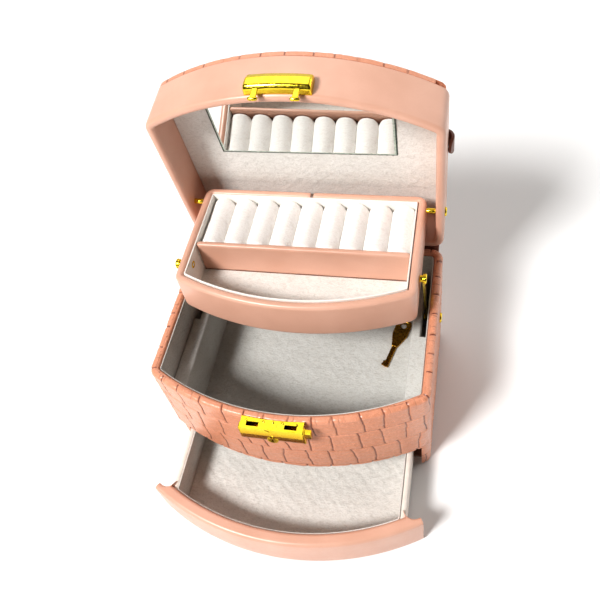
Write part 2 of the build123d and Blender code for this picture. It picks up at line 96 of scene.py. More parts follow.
def arc_of(outline):
    """Radius and centre y of an outline's bowed front."""
    radius = (outline.half**2 + outline.bow**2) / (2 * outline.bow)
    return radius, outline.corner - outline.bow + radius


def shrunk(outline, inset, half=None, rear=None, radius=None):
    """The outline moved in by inset, or cut to its own half width and rear."""
    bow_radius, centre = arc_of(outline)
    bow_radius -= inset
    half = outline.half - inset if half is None else half
    rear = outline.rear - inset if rear is None else rear
    radius = max(0.8, outline.radius - inset) if radius is None else radius
    corner = centre - math.sqrt(bow_radius**2 - half**2)
    return Outline(half, rear, corner, corner - (centre - bow_radius), radius)


def turned(centre, radius, start, end, step):
    """Points and outward normals along an arc, its last point left out."""
    count = max(3, round(abs(end - start) * radius / step))
    angles = start + (end - start) * np.arange(count) / count
    normal = np.stack([np.cos(angles), np.sin(angles)], 1)
    return np.array(centre) + radius * normal, normal


def straight(a, b, normal, step):
    """Points and normals along a line, its last point left out."""
    count = max(1, round(math.dist(a, b) / step))
    share = np.arange(count)[:, None] / count
    return np.array(a) * (1 - share) + np.array(b) * share, np.tile(normal, (count, 1))


def trace(outline, step):
    """The outline as a closed loop from the rear centre, clockwise seen from above."""
    half, rear, radius = outline.half, outline.rear, outline.radius
    bow_radius, centre = arc_of(outline)
    fillet_x = half - radius
    fillet_y = centre - math.sqrt((bow_radius - radius) ** 2 - fillet_x**2)
    lean = math.atan2(fillet_y - centre, fillet_x)
    right = [
        straight((0, rear), (fillet_x, rear), (0, 1), step),
        turned((fillet_x, rear - radius), radius, math.pi / 2, 0, step),
        straight((half, rear - radius), (half, fillet_y), (1, 0), step),
        turned((fillet_x, fillet_y), radius, 0, lean, step),
        turned((0, centre), bow_radius, lean, -math.pi / 2, step),
    ]
    xy = np.concatenate([p for p, _ in right])
    normal = np.concatenate([n for _, n in right])
    front = np.concatenate([np.full(len(p), k > 2) for k, (p, _) in enumerate(right)])
    middle = np.array([[0.0, centre - bow_radius]])
    mirrored = np.array([-1.0, 1.0])
    xy = np.concatenate([xy, middle, (xy * mirrored)[:0:-1]])
    normal = np.concatenate([normal, [[0.0, -1.0]], (normal * mirrored)[:0:-1]])
    front = np.concatenate([front, [True], front[:0:-1]])
    gaps = np.linalg.norm(np.diff(xy, axis=0), axis=1)
    return Loop(xy, normal, np.concatenate([[0], np.cumsum(gaps)]), front)


# ---- surface relief ----
SCALE_WIDTH = 14.5
SCALE_HEIGHT = 21.0
CREASE_DEPTH = 0.5


def hashed(*keys):
    """A steady pseudo-random number from 0 to 1 for whole-number keys."""
    value = np.sin(sum(k * f for k, f in zip(keys, (12.9898, 78.233, 37.719)))) * 43758.5453
    return value - np.floor(value)


def waves(a, b, size, seed=0.0):
    """Smooth wandering from -1 to 1 with features about size apart."""
    a, b = np.asarray(a) / size * 2.6 + seed, np.asarray(b) / size * 2.6 - seed
    return (
        np.sin(a * 1.3 + 1.7 * np.sin(b * 0.9 + seed))
        + np.sin(b * 1.1 + 1.3 * np.sin(a * 0.7 + 2.0))
        + np.sin((a + b) * 0.8 + 1.1 * np.sin(a * 1.9 - b))
    ) / 3


def scales(along, up):
    """Embossed crocodile scales: relief in millimetres, how deep in a crease, and each scale's own tone,
    paler along the welts as a painted highlight.
    """
    level = (up - 3.0 + 1.3 * waves(along, up * 0.2, 60, 1.0) + 0.4 * waves(along, up, 9, 4.0)) / SCALE_HEIGHT
    row = np.floor(level)
    share = level - row
    across = along / SCALE_WIDTH + 0.27 * row + 0.12 * hashed(row, 3.0)
    across = across + 0.06 * waves(up, along * 0.3, 12, 2.0)
    cell = np.floor(across)
    gap = np.full(np.shape(across), 9.0)
    strength = np.ones(np.shape(across))
    left = np.full(np.shape(across), -99.0)
    for k in (-1, 0, 1, 2):
        slant = (0.10 + 0.26 * (hashed(cell + k, row, 5.0) - 0.5)) * (share - 0.5)
        edge = cell + k + 0.26 * (hashed(cell + k, row) - 0.5) + slant
        distance = np.abs(across - edge)
        nearer = distance < gap
        strength = np.where(nearer, 0.7 + 0.3 * hashed(cell + k, row, 8.0), strength)
        gap = np.minimum(gap, distance)
        left = np.where(edge <= across, np.maximum(left, cell + k), left)
    gap = gap * SCALE_WIDTH
    lift = np.minimum(share, 1 - share) * SCALE_HEIGHT
    upright = strength * np.exp(-((gap / 0.46) ** 2))
    lying = (0.3 + 0.7 * hashed(row, cell, 6.0)) * np.exp(-((lift / 0.5) ** 2))
    welt = 0.8 * np.exp(-(((lift - 1.1) / 0.5) ** 2))
    shoulder = np.clip(np.minimum(gap, lift) / 2.4, 0, 1)
    pillow = shoulder * (2 - shoulder)
    grain = 0.08 * waves(along, up * 1.8, 3.0, 3.0) + 0.12 * waves(along * 0.5, up, 5.5, 6.0)
    grain = grain + 0.07 * waves(along * 0.6, up * 1.2, 2.0, 8.0)
    relief = 0.16 * pillow - CREASE_DEPTH * upright - 0.26 * lying + 0.16 * welt + grain - 0.02
    crease = np.clip(upright + 0.5 * lying, 0, 1)
    # painted highlight: each scale's tone is made paler along the welts, on their ridges
    return relief, crease, 0.3 + 0.7 * hashed(left, row, 9.0) - 0.4 * welt


# ---- meshes ----
def made(name, vertices, faces, body, material, replaces=(), tints=None, sharp=40):
    """A mesh piece from vertices in millimetres, in place and riding on its body."""
    mesh = bpy.data.meshes.new(name)
    mesh.from_pydata((np.asarray(vertices, float) * MM).tolist(), [], faces)
    work = bmesh.new()
    work.from_mesh(mesh)
    bmesh.ops.recalc_face_normals(work, faces=work.faces)
    work.to_mesh(mesh)
    work.free()
    for key, values in (tints or {}).items():
        attribute = mesh.attributes.new(key, "FLOAT", "POINT")
        attribute.data.foreach_set("value", np.asarray(values, np.float32))
    mesh.polygons.foreach_set("use_smooth", [True] * len(mesh.polygons))
    mesh.set_sharp_from_angle(angle=math.radians(sharp))
    mesh.materials.append(material)
    piece = bpy.data.objects.new(name, mesh)
    bpy.context.scene.collection.objects.link(piece)
    if body:
        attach(piece, body)
    if replaces:
        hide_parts(*replaces)
    return piece


def woven(rows, columns, wrap_rows=False, wrap_columns=True, caps=(False, False), first=0):
    """Faces of a grid of vertices, numbered row by row from first, with flat caps on its end rows."""
    faces = []
    for i in range(rows if wrap_rows else rows - 1):
        a, b = first + i * columns, first + (i + 1) % rows * columns
        for j in range(columns if wrap_columns else columns - 1):
            k = (j + 1) % columns
            faces.append((a + j, a + k, b + k, b + j))
    if caps[0]:
        faces.append(tuple(range(first + columns - 1, first - 1, -1)))
    if caps[1]:
        faces.append(tuple(range(first + (rows - 1) * columns, first + rows * columns)))
    return faces


def quarter(count):
    """Pairs of 1 - cos and 1 - sin over a quarter turn: how far in and how far down a round edge is."""
    return [(1 - math.cos(a), 1 - math.sin(a)) for a in np.linspace(0, math.pi / 2, count)]


def bulge(edge, reach):
    """Share of full size at a distance from a rounded end: 0 at the end, 1 from reach on."""
    return math.sqrt(max(0.0, 1 - (1 - min(edge / reach, 1)) ** 2))


def board_rows(height, wall, outer_round, inner_round, step, foot_round=0.0):
    """Closed section of an upright board: inset, height, outward and upward normal, and run from its foot."""
    rows = []
    for angle in np.linspace(-math.pi / 2, 0, 5)[:-1] if foot_round else []:
        inset = foot_round * (1 - math.cos(angle))
        rows.append((inset, foot_round * (1 + math.sin(angle)), math.cos(angle), math.sin(angle)))
    count = max(2, round((height - foot_round - outer_round) / step))
    for share in np.arange(count) / count:
        rows.append((0.0, foot_round + share * (height - foot_round - outer_round), 1.0, 0.0))
    turns = max(6, round(outer_round * 1.6 / step))
    for angle in np.linspace(0, math.pi / 2, turns + 1):
        inset = outer_round * (1 - math.cos(angle))
        rows.append((inset, height - outer_round * (1 - math.sin(angle)), math.cos(angle), math.sin(angle)))
    for angle in np.linspace(math.pi / 2, 0, turns + 1):
        inset = wall - inner_round * (1 - math.cos(angle))
        rows.append((inset, height - inner_round * (1 - math.sin(angle)), -math.cos(angle), math.sin(angle)))
    for share in (0.75, 0.5, 0.25, 0.0):
        rows.append((wall, share * (height - inner_round), -1.0, 0.0))
    rows = np.array(rows)
    steps = np.linalg.norm(np.diff(rows[:, :2], axis=0), axis=1)
    return np.column_stack([rows, np.concatenate([[0], np.cumsum(steps)])])


def ring_wall(outline, base, height, wall, rounds, step, relief=None, foot_round=0.0, upside_down=False):
    """Vertices, faces and tints of a board bent round an outline, from height base.

    relief gives (height, crease, tone) at a run along the outline and a run up the board."""
    loop = trace(outline, step)
    rows = board_rows(height, wall, *rounds, step, foot_round)
    count = len(loop.run)
    points, creases, tones = [], [], []
    for inset, rise, outward, upward, run in rows:
        lift, crease, tone = np.zeros(count), np.zeros(count), np.full(count, 0.5)
        if relief:
            lift, crease, tone = relief(loop, run, inset, outward)
        sideways = lift * outward - inset
        rise = rise + lift * upward
        z = base - rise if upside_down else base + rise
        points.append(np.column_stack([loop.xy + loop.normal * sideways[:, None], np.broadcast_to(z, count)]))
        creases.append(crease)
        tones.append(tone)
    tints = {"crease": np.concatenate(creases), "tone": np.concatenate(tones)}
    return np.concatenate(points), woven(len(rows), count, wrap_rows=True), tints


def rear_seam(run, total, width):
    """1 on the seam where the loop closes at the rear centre, fading out over width."""
    return np.exp(-((np.minimum(run, total - run) / width) ** 2))


def soft(amount, size, seam):
    """Relief of smooth leather over board: slow waves, and a closed seam at the rear centre."""

    def relief(loop, run, inset, outward):
        total = loop.run[-1]
        lift = amount * waves(loop.run, run, size, 2.0) - seam * rear_seam(loop.run, total, 0.45)
        return lift, rear_seam(loop.run, total, 0.4), np.full(len(loop.run), 0.5)

    return relief


def sheet(outline, step):
    """Grid points that fill an outline: columns from left to right, each from front to rear."""
    half, rear, radius = outline.half, outline.rear, outline.radius
    bow_radius, centre = arc_of(outline)
    fillet_x = half - radius
    fillet_y = centre - math.sqrt((bow_radius - radius) ** 2 - fillet_x**2)
    flat = fillet_x * np.linspace(0, 1, max(4, round(half / step)))
    right = np.concatenate([flat, fillet_x + radius * np.sin(np.linspace(0, math.pi / 2, 7)[1:])])
    x = np.concatenate([-right[:0:-1], right])
    over = np.sqrt(np.maximum(0, radius**2 - np.clip(np.abs(x) - fillet_x, 0, None) ** 2))
    on_bow = centre - np.sqrt(bow_radius**2 - x**2)
    bends_at = fillet_x * bow_radius / (bow_radius - radius)
    front = np.where(np.abs(x) <= bends_at, on_bow, fillet_y - over)
    back = rear - radius + over
    levels = np.linspace(0, 1, max(4, round((outline.rear - outline.corner + outline.bow) / step)))
    return np.stack([np.tile(x[:, None], len(levels)), front[:, None] + (back - front)[:, None] * levels], 2)


def border_of(columns, rows):
    """Places of a grid's border vertices, once round."""
    border = [(i, 0) for i in range(columns)] + [(columns - 1, j) for j in range(1, rows)]
    border += [(i, rows - 1) for i in range(columns - 2, -1, -1)] + [(0, j) for j in range(rows - 2, 0, -1)]
    return np.array(border).T


def covered(rings, cover):
    """Vertices and faces of a closed board: rings of its sides from the foot up, then a grid over its top."""
    columns, rows = cover.shape[:2]
    side, up = border_of(columns, rows)
    count = len(side)
    faces = woven(len(rings), count, caps=(True, False))
    last, first = (len(rings) - 1) * count, len(rings) * count
    inner = first + side * rows + up
    for k in range(count):
        n = (k + 1) % count
        faces.append((last + k, last + n, int(inner[n]), int(inner[k])))
    faces += woven(columns, rows, wrap_columns=False, first=first)
    return np.concatenate([*rings, cover.reshape(-1, 3)]), faces


def pad(outline, base, height, edge, crown, crinkle, step, relief=None, seed=0.0):
    """A thin cushion that fills an outline: round edges, a slight crown and a crinkled cover."""
    top = sheet(shrunk(outline, edge), step)
    columns, rows = top.shape[:2]
    side, up = border_of(columns, rows)
    count = len(side)
    levels = [(0.0, 0.0)] + [(edge * over, height - edge * down) for over, down in quarter(6)[:-1]]
    rings, creases, tones = [], [], []
    for inset, z in levels:
        ring = sheet(shrunk(outline, inset), step)[side, up]
        lift, crease, tone = np.zeros(count), np.zeros(count), np.full(count, 0.5)
        if relief:
            lift, crease, tone = relief(ring[:, 0], ring[:, 1])
        rings.append(np.column_stack([ring, base + z + 0.9 * lift * z / height]))
        creases.append(crease)
        tones.append(tone)
    xy = top.reshape(-1, 2)
    x, y = xy[:, 0], xy[:, 1]
    across = 1 - (x / np.abs(x).max()) ** 2
    along = np.tile(np.sin(np.linspace(0, math.pi, rows)), columns)
    fade = np.clip(np.minimum(across * outline.half / 2, along * outline.half / 3) / 2.5, 0, 1)
    lift = crown * across * along
    lift = lift + fade * crinkle * (waves(x, y, 4.2, 5.0 + seed) + 0.8 * waves(x, y, 2.3, 1.0 + seed))
    crease, tone = np.zeros(len(xy)), np.full(len(xy), 0.5)
    if relief:
        shape, crease, tone = relief(x, y)
        lift = lift + fade * shape
    cover = np.column_stack([xy, base + height + lift]).reshape(columns, rows, 3)
    tints = {"crease": np.concatenate([*creases, crease]), "tone": np.concatenate([*tones, tone])}
    return *covered(rings, cover), tints


def slab(corners, base, top, rounding, step=2.5):
    """A board with a closed outline, given anticlockwise, and a round upper edge."""
    corners = np.array(corners, float)
    ring, normals = [], []
    for a, b in zip(corners, np.roll(corners, -1, axis=0)):
        normal = np.array([b[1] - a[1], a[0] - b[0]]) / math.dist(a, b)
        count = max(1, round(math.dist(a, b) / step))
        for share in np.arange(count) / count:
            ring.append(a * (1 - share) + b * share)
            normals.append(normal)
    ring, normals = np.array(ring), np.array(normals)
    before = np.roll(normals, 1, axis=0)
    mitre = (normals + before) / (1 + (normals * before).sum(1, keepdims=True))
    rows = [(0.0, base)] + [(rounding * over, top - rounding * down) for over, down in quarter(6)]
    points = [np.column_stack([ring - mitre * inset, np.full(len(ring), z)]) for inset, z in rows]
    return np.concatenate(points), woven(len(rows), len(ring), caps=(True, True))


def raised(points):
    """Points of the lid's own plane, in millimetres, placed in the row frame with the lid open."""
    turn = np.array(lid_matrix.to_3x3())
    return points @ turn.T + np.array(lid_matrix.translation)


def rounded_box(lowest, highest, radius, step, puff=0.0, seed=0.0):
    """Vertices and faces of a box with all its edges round, its faces slightly puffed."""
    lowest, highest = np.array(lowest, float), np.array(highest, float)
    size = highest - lowest
    radius = np.minimum(radius, size / 2 - 1e-3)
    ticks = []
    for axis in range(3):
        curve = radius[axis] * (1 - np.cos(np.linspace(0, math.pi / 2, 5)))
        inner = max(1, round((size[axis] - 2 * radius[axis]) / step))
        middle = radius[axis] + (size[axis] - 2 * radius[axis]) * np.arange(1, inner) / inner
        ticks.append(np.concatenate([curve, middle, size[axis] - curve[::-1]]))
    points, faces, found = [], [], {}
    for axis in range(3):
        other = [k for k in range(3) if k != axis]
        for side in (0, 1):
            grid = np.zeros((len(ticks[other[0]]), len(ticks[other[1]])), int)
            for i, a in enumerate(ticks[other[0]]):
                for j, b in enumerate(ticks[other[1]]):
                    place = [0.0, 0.0, 0.0]
                    place[axis], place[other[0]], place[other[1]] = side * size[axis], a, b
                    key = tuple(np.round(place, 5))
                    if key not in found:
                        found[key] = len(points)
                        points.append(place)
                    grid[i, j] = found[key]
            around = (grid[:-1, :-1], grid[1:, :-1], grid[1:, 1:], grid[:-1, 1:])
            faces += zip(*(part.ravel() for part in around))
    points = np.array(points)
    core = np.clip(points, radius, size - radius)
    offset = (points - core) / radius
    length = np.linalg.norm(offset, axis=1, keepdims=True)
    length[length == 0] = 1
    unit = offset / length
    points = core + unit * radius
    swell = puff * waves(points[:, 0] + points[:, 2] * 1.7, points[:, 1], 14, seed)
    return points + unit * swell[:, None] + lowest, faces


def joined(*shapes):
    """Several (vertices, faces) shapes as one."""
    points, faces = [], []
    for vertices, own in shapes:
        first = sum(len(p) for p in points)
        points.append(np.asarray(vertices))
        faces += [tuple(first + k for k in face) for face in own]
    return np.concatenate(points), faces


def swept(path, section, ups):
    """A closed section swept along a path: section points are (sideways, up) for each station's frame."""
    path = np.asarray(path, float)
    tangent = np.gradient(path, axis=0)
    tangent /= np.linalg.norm(tangent, axis=1, keepdims=True)
    points = []
    for k, place in enumerate(path):
        up = np.asarray(ups if np.ndim(ups) == 1 else ups[k], float)
        side = np.cross(tangent[k], up)
        side /= np.linalg.norm(side)
        up = np.cross(side, tangent[k])
        own = section(k) if callable(section) else section
        points.append(place + np.outer(own[:, 0], side) + np.outer(own[:, 1], up))
    return np.concatenate(points), woven(len(points), len(points[0]), caps=(True, True))


def corner_arcs(corners):
    """Points round a section's corners, each given by its centre, radius, first angle and count."""
    return [
        (x + radius * math.cos(angle), z + radius * math.sin(angle))
        for x, z, radius, start, count in corners
        for angle in np.radians(np.linspace(start, start + 90, count))
    ]


def round_section(width, thickness, radius, count=5):
    """Rounded rectangle, centred, as section points."""
    x, z = width / 2 - radius, thickness / 2 - radius
    signs = [(1, 1, 0), (-1, 1, 90), (-1, -1, 180), (1, -1, 270)]
    return np.array(corner_arcs([(sx * x, sz * z, radius, start, count) for sx, sz, start in signs]))


def disc(count, radius):
    """Round section."""
    angles = np.linspace(0, 2 * math.pi, count, endpoint=False)
    return np.column_stack([np.cos(angles), np.sin(angles)]) * radius


def filleted(points, radii, step):
    """A polyline in a plane with each inner corner rounded, as evenly spaced points."""
    points = [np.array(p, float) for p in points]
    line = [points[0]]
    for before, corner, after, radius in zip(points, points[1:], points[2:], radii):
        to_before = (before - corner) / np.linalg.norm(before - corner)
        to_after = (after - corner) / np.linalg.norm(after - corner)
        turn = math.pi - math.acos(np.clip(to_before @ to_after, -1, 1))
        reach = radius * math.tan(turn / 2)
        bisector = (to_before + to_after) / np.linalg.norm(to_before + to_after)
        centre = corner + bisector * radius / math.cos(turn / 2)
        start, end = corner + to_before * reach - centre, corner + to_after * reach - centre
        for share in np.linspace(0, 1, max(4, round(radius * turn / step))):
            spoke = start * (1 - share) + end * share
            line.append(centre + spoke / np.linalg.norm(spoke) * radius)
    line.append(points[-1])
    line = np.array(line)
    run = np.concatenate([[0], np.cumsum(np.linalg.norm(np.diff(line, axis=0), axis=1))])
    even = np.linspace(0, run[-1], max(2, round(run[-1] / step)))
    return np.column_stack([np.interp(even, run, line[:, k]) for k in range(line.shape[1])])


# ---- materials ----
def added(tree, kind, inputs):
    """A new node, each input set to its value or linked to its output."""
    node = tree.nodes.new(f"ShaderNode{kind}")
    for key, value in inputs.items():
        if isinstance(value, bpy.types.NodeSocket):
            tree.links.new(value, node.inputs[key])
        else:
            node.inputs[key].default_value = value
    return node


class Nodes:
    """Short forms for building one material's nodes."""

    def __init__(self, name, inputs):
        self.material = bpy.data.materials.new(name)
        self.material.use_nodes = True
        self.tree = self.material.node_tree
        self.shader = self.tree.nodes["Principled BSDF"]
        for key, value in inputs.items():
            self.shader.inputs[key].default_value = value
        self.place = added(self.tree, "TexCoord", {}).outputs["Object"]

    def noise(self, size, detail=3.0, distortion=0.0, stretch=None):
        """Noise with features about size millimetres apart, in coordinates scaled by stretch."""
        place = self.place
        if stretch:
            place = added(self.tree, "Mapping", {"Scale": stretch, "Vector": place}).outputs["Vector"]
        inputs = {"Scale": 1 / (size * MM), "Detail": detail, "Distortion": distortion, "Vector": place}
        return added(self.tree, "TexNoise", inputs).outputs["Fac"]

    def cells(self, size):
        """Voronoi cells about size millimetres across."""
        inputs = {"Scale": 1 / (size * MM), "Vector": self.place}
        return added(self.tree, "TexVoronoi", inputs).outputs["Distance"]

    def climb(self):
        """Height above the table, in metres."""
        position = added(self.tree, "NewGeometry", {}).outputs["Position"]
        return added(self.tree, "SeparateXYZ", {"Vector": position}).outputs["Z"]

    def tint(self, name):
        """One of the mesh's own tints."""
        node = added(self.tree, "Attribute", {})
        node.attribute_name = name
        return node.outputs["Fac"]

    def spread(self, value, low_in, high_in, low_out=0.0, high_out=1.0):
        """The value's range from low_in to high_in, mapped to low_out to high_out."""
        ends = {"From Min": low_in, "From Max": high_in, "To Min": low_out, "To Max": high_out}
        return added(self.tree, "MapRange", {**ends, "Value": value}).outputs["Result"]

    def mixed(self, share, a, b):
        """Colours a and b, each a colour or an output, mixed by share."""
        return mixed_colour(self.tree, share, a, b)

    def bump(self, height, strength, depth, before=None):
        """Fine relief depth millimetres deep, over what before gives."""
        inputs = {"Strength": strength, "Distance": depth * MM, "Height": height}
        if before:
            inputs["Normal"] = before
        return added(self.tree, "Bump", inputs).outputs["Normal"]

    def colour(self, output):
        self.tree.links.new(output, self.shader.inputs["Base Color"])

    def rough(self, output):
        self.tree.links.new(output, self.shader.inputs["Roughness"])

    def surface(self, normal):
        self.tree.links.new(normal, self.shader.inputs["Normal"])


def mixed_colour(tree, share, a, b):
    """The mix node's colour output; its colour inputs A and B are numbers 6 and 7."""
    node = tree.nodes.new("ShaderNodeMix")
    node.data_type = "RGBA"
    tree.links.new(share, node.inputs["Factor"])
    for key, colour in ((6, a), (7, b)):
        if isinstance(colour, tuple):
            node.inputs[key].default_value = (*colour, 1)
        else:
            tree.links.new(colour, node.inputs[key])
    return node.outputs[2]


def smooth_leather(name, light, dark, roughness=0.36):
    """Coated leather: slow colour drift, fine pores, a dark line where a tint marks a seam."""
    shine = {"Specular IOR Level": 0.45, "Coat Weight": 0.3, "Coat Roughness": 0.3}
    m = Nodes(name, {"Roughness": roughness, **shine})
    drift = m.mixed(m.spread(m.noise(28, 2.0), 0.3, 0.7), light, dark)
    fine = m.mixed(m.spread(m.noise(1.4, 4.0), 0.35, 0.75, 0.0, 0.22), drift, dark)
    m.colour(m.mixed(m.spread(m.tint("crease"), 0.25, 0.8, 0.0, 0.9), fine, tuple(c * 0.16 for c in dark)))
    m.rough(m.spread(m.noise(3.0, 4.0), 0.3, 0.7, roughness - 0.05, roughness + 0.08))
    pores = m.bump(m.cells(0.55), 0.16, 0.06)
    m.surface(m.bump(m.noise(4.5, 3.0), 0.10, 0.25, pores))
    return m.material


def croc_leather(name, light, dark, crease):
    """Embossed leather: each scale a little different, fine wrinkles, dark creases, and flecks of painted
    highlight.
    """
    shine = {"Specular IOR Level": 0.5, "Coat Weight": 0.32, "Coat Roughness": 0.26}
    m = Nodes(name, {"Roughness": 0.38, **shine})
    scale = m.mixed(m.spread(m.tint("tone"), 0.0, 1.0, 0.0, 0.5), light, dark)
    mottled = m.mixed(m.spread(m.noise(3.2, 4.0, 1.0), 0.38, 0.68, 0.0, 0.6), scale, dark)
    # painted highlight: pale flecks scattered over the leather by a fine noise
    pale = tuple(min(1.0, c * 1.25 + 0.03) for c in light)
    highlight_flecks = m.mixed(m.spread(m.noise(1.6, 5.0, 1.4), 0.54, 0.74, 0.0, 0.7), mottled, pale)
    deep = tuple(c * 0.62 for c in dark)
    scored = m.mixed(m.spread(m.noise(1.1, 4.0, 2.2), 0.58, 0.7, 0.0, 0.4), highlight_flecks, deep)
    m.colour(m.mixed(m.spread(m.tint("crease"), 0.12, 0.7, 0.0, 0.95), scored, crease))
    m.rough(m.spread(m.noise(2.5, 4.0), 0.3, 0.7, 0.28, 0.46))
    pores = m.bump(m.cells(0.7), 0.2, 0.08)
    wrinkles = m.bump(m.noise(3.4, 3.0, 1.8), 0.45, 0.5, pores)
    m.surface(m.bump(m.noise(1.3, 5.0, 0.8), 0.4, 0.3, wrinkles))
    return m.material


def velvet(name, light, dark, crinkle=0.6):
    """Short-pile velvet over card: finely crinkled, with lighter and darker lying pile, and painted shade
    that darkens it with the crinkles.
    """
    sheen = {"Sheen Weight": 0.3, "Sheen Roughness": 0.35, "Sheen Tint": (1.0, 0.97, 0.94, 1)}
    m = Nodes(name, {"Roughness": 0.86, "Specular IOR Level": 0.2, **sheen})
    lie = m.mixed(m.spread(m.noise(30.0, 2.0, 0.4), 0.35, 0.65, 0.0, 0.16), light, dark)
    # painted shade: the colour darkens with the same noise that raises the crinkled folds
    crinkle_shaded = m.mixed(m.spread(m.noise(1.5, 2.0, 1.0, (0.6, 1.0, 1.0)), 0.48, 0.68, 0.0, 0.34), lie, dark)
    m.colour(m.mixed(m.spread(m.noise(0.6, 3.0, 0.6), 0.45, 0.75, 0.0, 0.3), crinkle_shaded, dark))
    m.rough(m.spread(m.noise(1.2, 3.0), 0.3, 0.7, 0.78, 0.94))
    folds = m.bump(m.noise(1.5, 2.0, 1.0, (0.6, 1.0, 1.0)), crinkle, 0.55)
    m.surface(m.bump(m.noise(0.28, 2.0), 0.3, 0.1, folds))
    return m.material


def covered_board(name, light, dark):
    """Thin board covered in fine plain-weave cloth."""
    m = Nodes(name, {"Roughness": 0.7, "Sheen Weight": 0.15})
    m.colour(m.mixed(m.spread(m.noise(6.0, 4.0), 0.3, 0.7), light, dark))
    m.rough(m.spread(m.noise(1.5, 3.0), 0.3, 0.7, 0.6, 0.8))
    threads = m.bump(m.noise(0.5, 2.0, 0.0, (1.0, 1.0, 0.18)), 0.18, 0.1)
    m.surface(m.bump(m.noise(0.5, 2.0, 0.0, (0.18, 1.0, 1.0)), 0.18, 0.1, threads))
    return m.material


def plated(name, light, dark, roughness=0.16, foot=None):
    """Polished plating with a little wear, faint drawing lines, soft dents, and, where foot is given, painted
    shade darkening it towards the bottom.
    """
    m = Nodes(name, {"Metallic": 1.0, "Roughness": roughness})
    tone = m.mixed(m.spread(m.noise(3.5, 3.0), 0.35, 0.75, 0.0, 0.8), light, dark)
    # painted shade: the colour darkens towards the bottom, fully below foot[0] millimetres up and fading out
    # by foot[1]
    if foot:
        tone = m.mixed(m.spread(m.climb(), foot[0] * MM, foot[1] * MM, 0.95, 0.0), tone, foot[2])
    m.colour(tone)
    m.rough(m.spread(m.noise(1.6, 4.0, 0.5), 0.3, 0.75, roughness * 0.7, roughness * 1.7))
    lines = m.bump(m.noise(0.35, 2.0, 0.0, (0.12, 1.0, 1.0)), 0.05, 0.05)
    m.surface(m.bump(m.noise(5.0, 2.0), 0.12, 0.12, lines))
    return m.material


def silvered(name):
    """Mirror silver with the faintest waviness."""
    m = Nodes(name, {"Metallic": 1.0, "Roughness": 0.012})
    m.colour(m.mixed(m.spread(m.noise(40, 2.0), 0.3, 0.7), (0.86, 0.885, 0.875), (0.80, 0.83, 0.82)))
    m.rough(m.spread(m.noise(12, 3.0), 0.3, 0.8, 0.006, 0.03))
    m.surface(m.bump(m.noise(30, 1.0), 0.03, 0.04))
    return m.material


def glass_edge(name, light, dark):
    """The ground edge of mirror glass: green, half polished."""
    m = Nodes(name, {"Roughness": 0.22})
    m.colour(m.mixed(m.spread(m.noise(2.0, 3.0), 0.3, 0.7), light, dark))
    m.rough(m.spread(m.noise(0.8, 3.0), 0.3, 0.7, 0.15, 0.4))
    m.surface(m.bump(m.noise(0.4, 2.0), 0.15, 0.05))
    return m.material


def steel_wire(name):
    """Bare spring wire with fine marks along it."""
    m = Nodes(name, {"Metallic": 1.0, "Roughness": 0.3})
    m.colour(m.mixed(m.spread(m.noise(1.0, 3.0), 0.3, 0.7), (0.6, 0.6, 0.62), (0.38, 0.38, 0.4)))
    m.rough(m.spread(m.noise(0.6, 3.0), 0.3, 0.7, 0.22, 0.42))
    m.surface(m.bump(m.noise(0.3, 2.0), 0.1, 0.03))
    return m.material


PINK = smooth_leather("pink_leather", (0.76, 0.455, 0.345), (0.68, 0.385, 0.28))
CROC = croc_leather("croc_leather", (0.76, 0.355, 0.225), (0.66, 0.27, 0.155), (0.20, 0.05, 0.025))
VELVET = velvet("cream_velvet", (0.84, 0.83, 0.80), (0.55, 0.525, 0.485))
# painted shade: darker copies of the cream velvet for the compartment and the drawer, whose insides lie in
# shade
SHADED_CASE_VELVET = velvet("case_velvet_painted_shade", (0.67, 0.665, 0.64), (0.43, 0.405, 0.36))
SHADED_DRAWER_VELVET = velvet("drawer_velvet_painted_shade", (0.76, 0.74, 0.71), (0.48, 0.45, 0.41))
# painted light: a brighter copy of the cream velvet for the ring rolls
LIT_ROLL_VELVET = velvet("roll_velvet_painted_light", (0.96, 0.94, 0.92), (0.80, 0.745, 0.70), 0.45)
LINER_EDGE = velvet("liner_velvet", (0.93, 0.91, 0.87), (0.78, 0.74, 0.69), 0.2)
EDGE_CLOTH = covered_board("cream_board", (0.84, 0.80, 0.74), (0.74, 0.69, 0.63))
BOARD = covered_board("brown_board", (0.34, 0.17, 0.11), (0.22, 0.10, 0.07))
GOLD = plated("gold_plating", (0.90, 0.70, 0.06), (0.80, 0.56, 0.03))
# painted shade on the lock: its front darkens to brown-orange towards the bottom while its top stays bright
LOCK_PAINTED_SHADE = (high("lock_case")[2] - 9.0, high("lock_case")[2] - 0.3, (0.42, 0.17, 0.008))
LOCK_GOLD = plated("lock_plating_painted_shade", (0.95, 0.74, 0.05), (0.88, 0.62, 0.03), 0.2, LOCK_PAINTED_SHADE)
OLD_GOLD = plated("key_plating", (0.50, 0.27, 0.03), (0.30, 0.14, 0.015), 0.24)
STEEL = steel_wire("spring_wire")
MIRROR = silvered("mirror_silver")
GLASS = glass_edge("mirror_edge", (0.07, 0.11, 0.09), (0.025, 0.045, 0.04))
BEVEL = glass_edge("mirror_bevel", (0.62, 0.70, 0.62), (0.36, 0.44, 0.38))
BROWN = smooth_leather("brown_leather", (0.24, 0.085, 0.048), (0.15, 0.048, 0.028), 0.42)
STITCH = covered_board("stitch_thread", (0.78, 0.62, 0.45), (0.62, 0.46, 0.32))


# ---- case ----
RIM_RUN = rim_z - band_z
CRACK_PITCH = 4.3
SEAM_WIDTH, SEAM_DEPTH = 0.6, 0.5
HEM = 1.3
FOOT_ROUND = 1.2


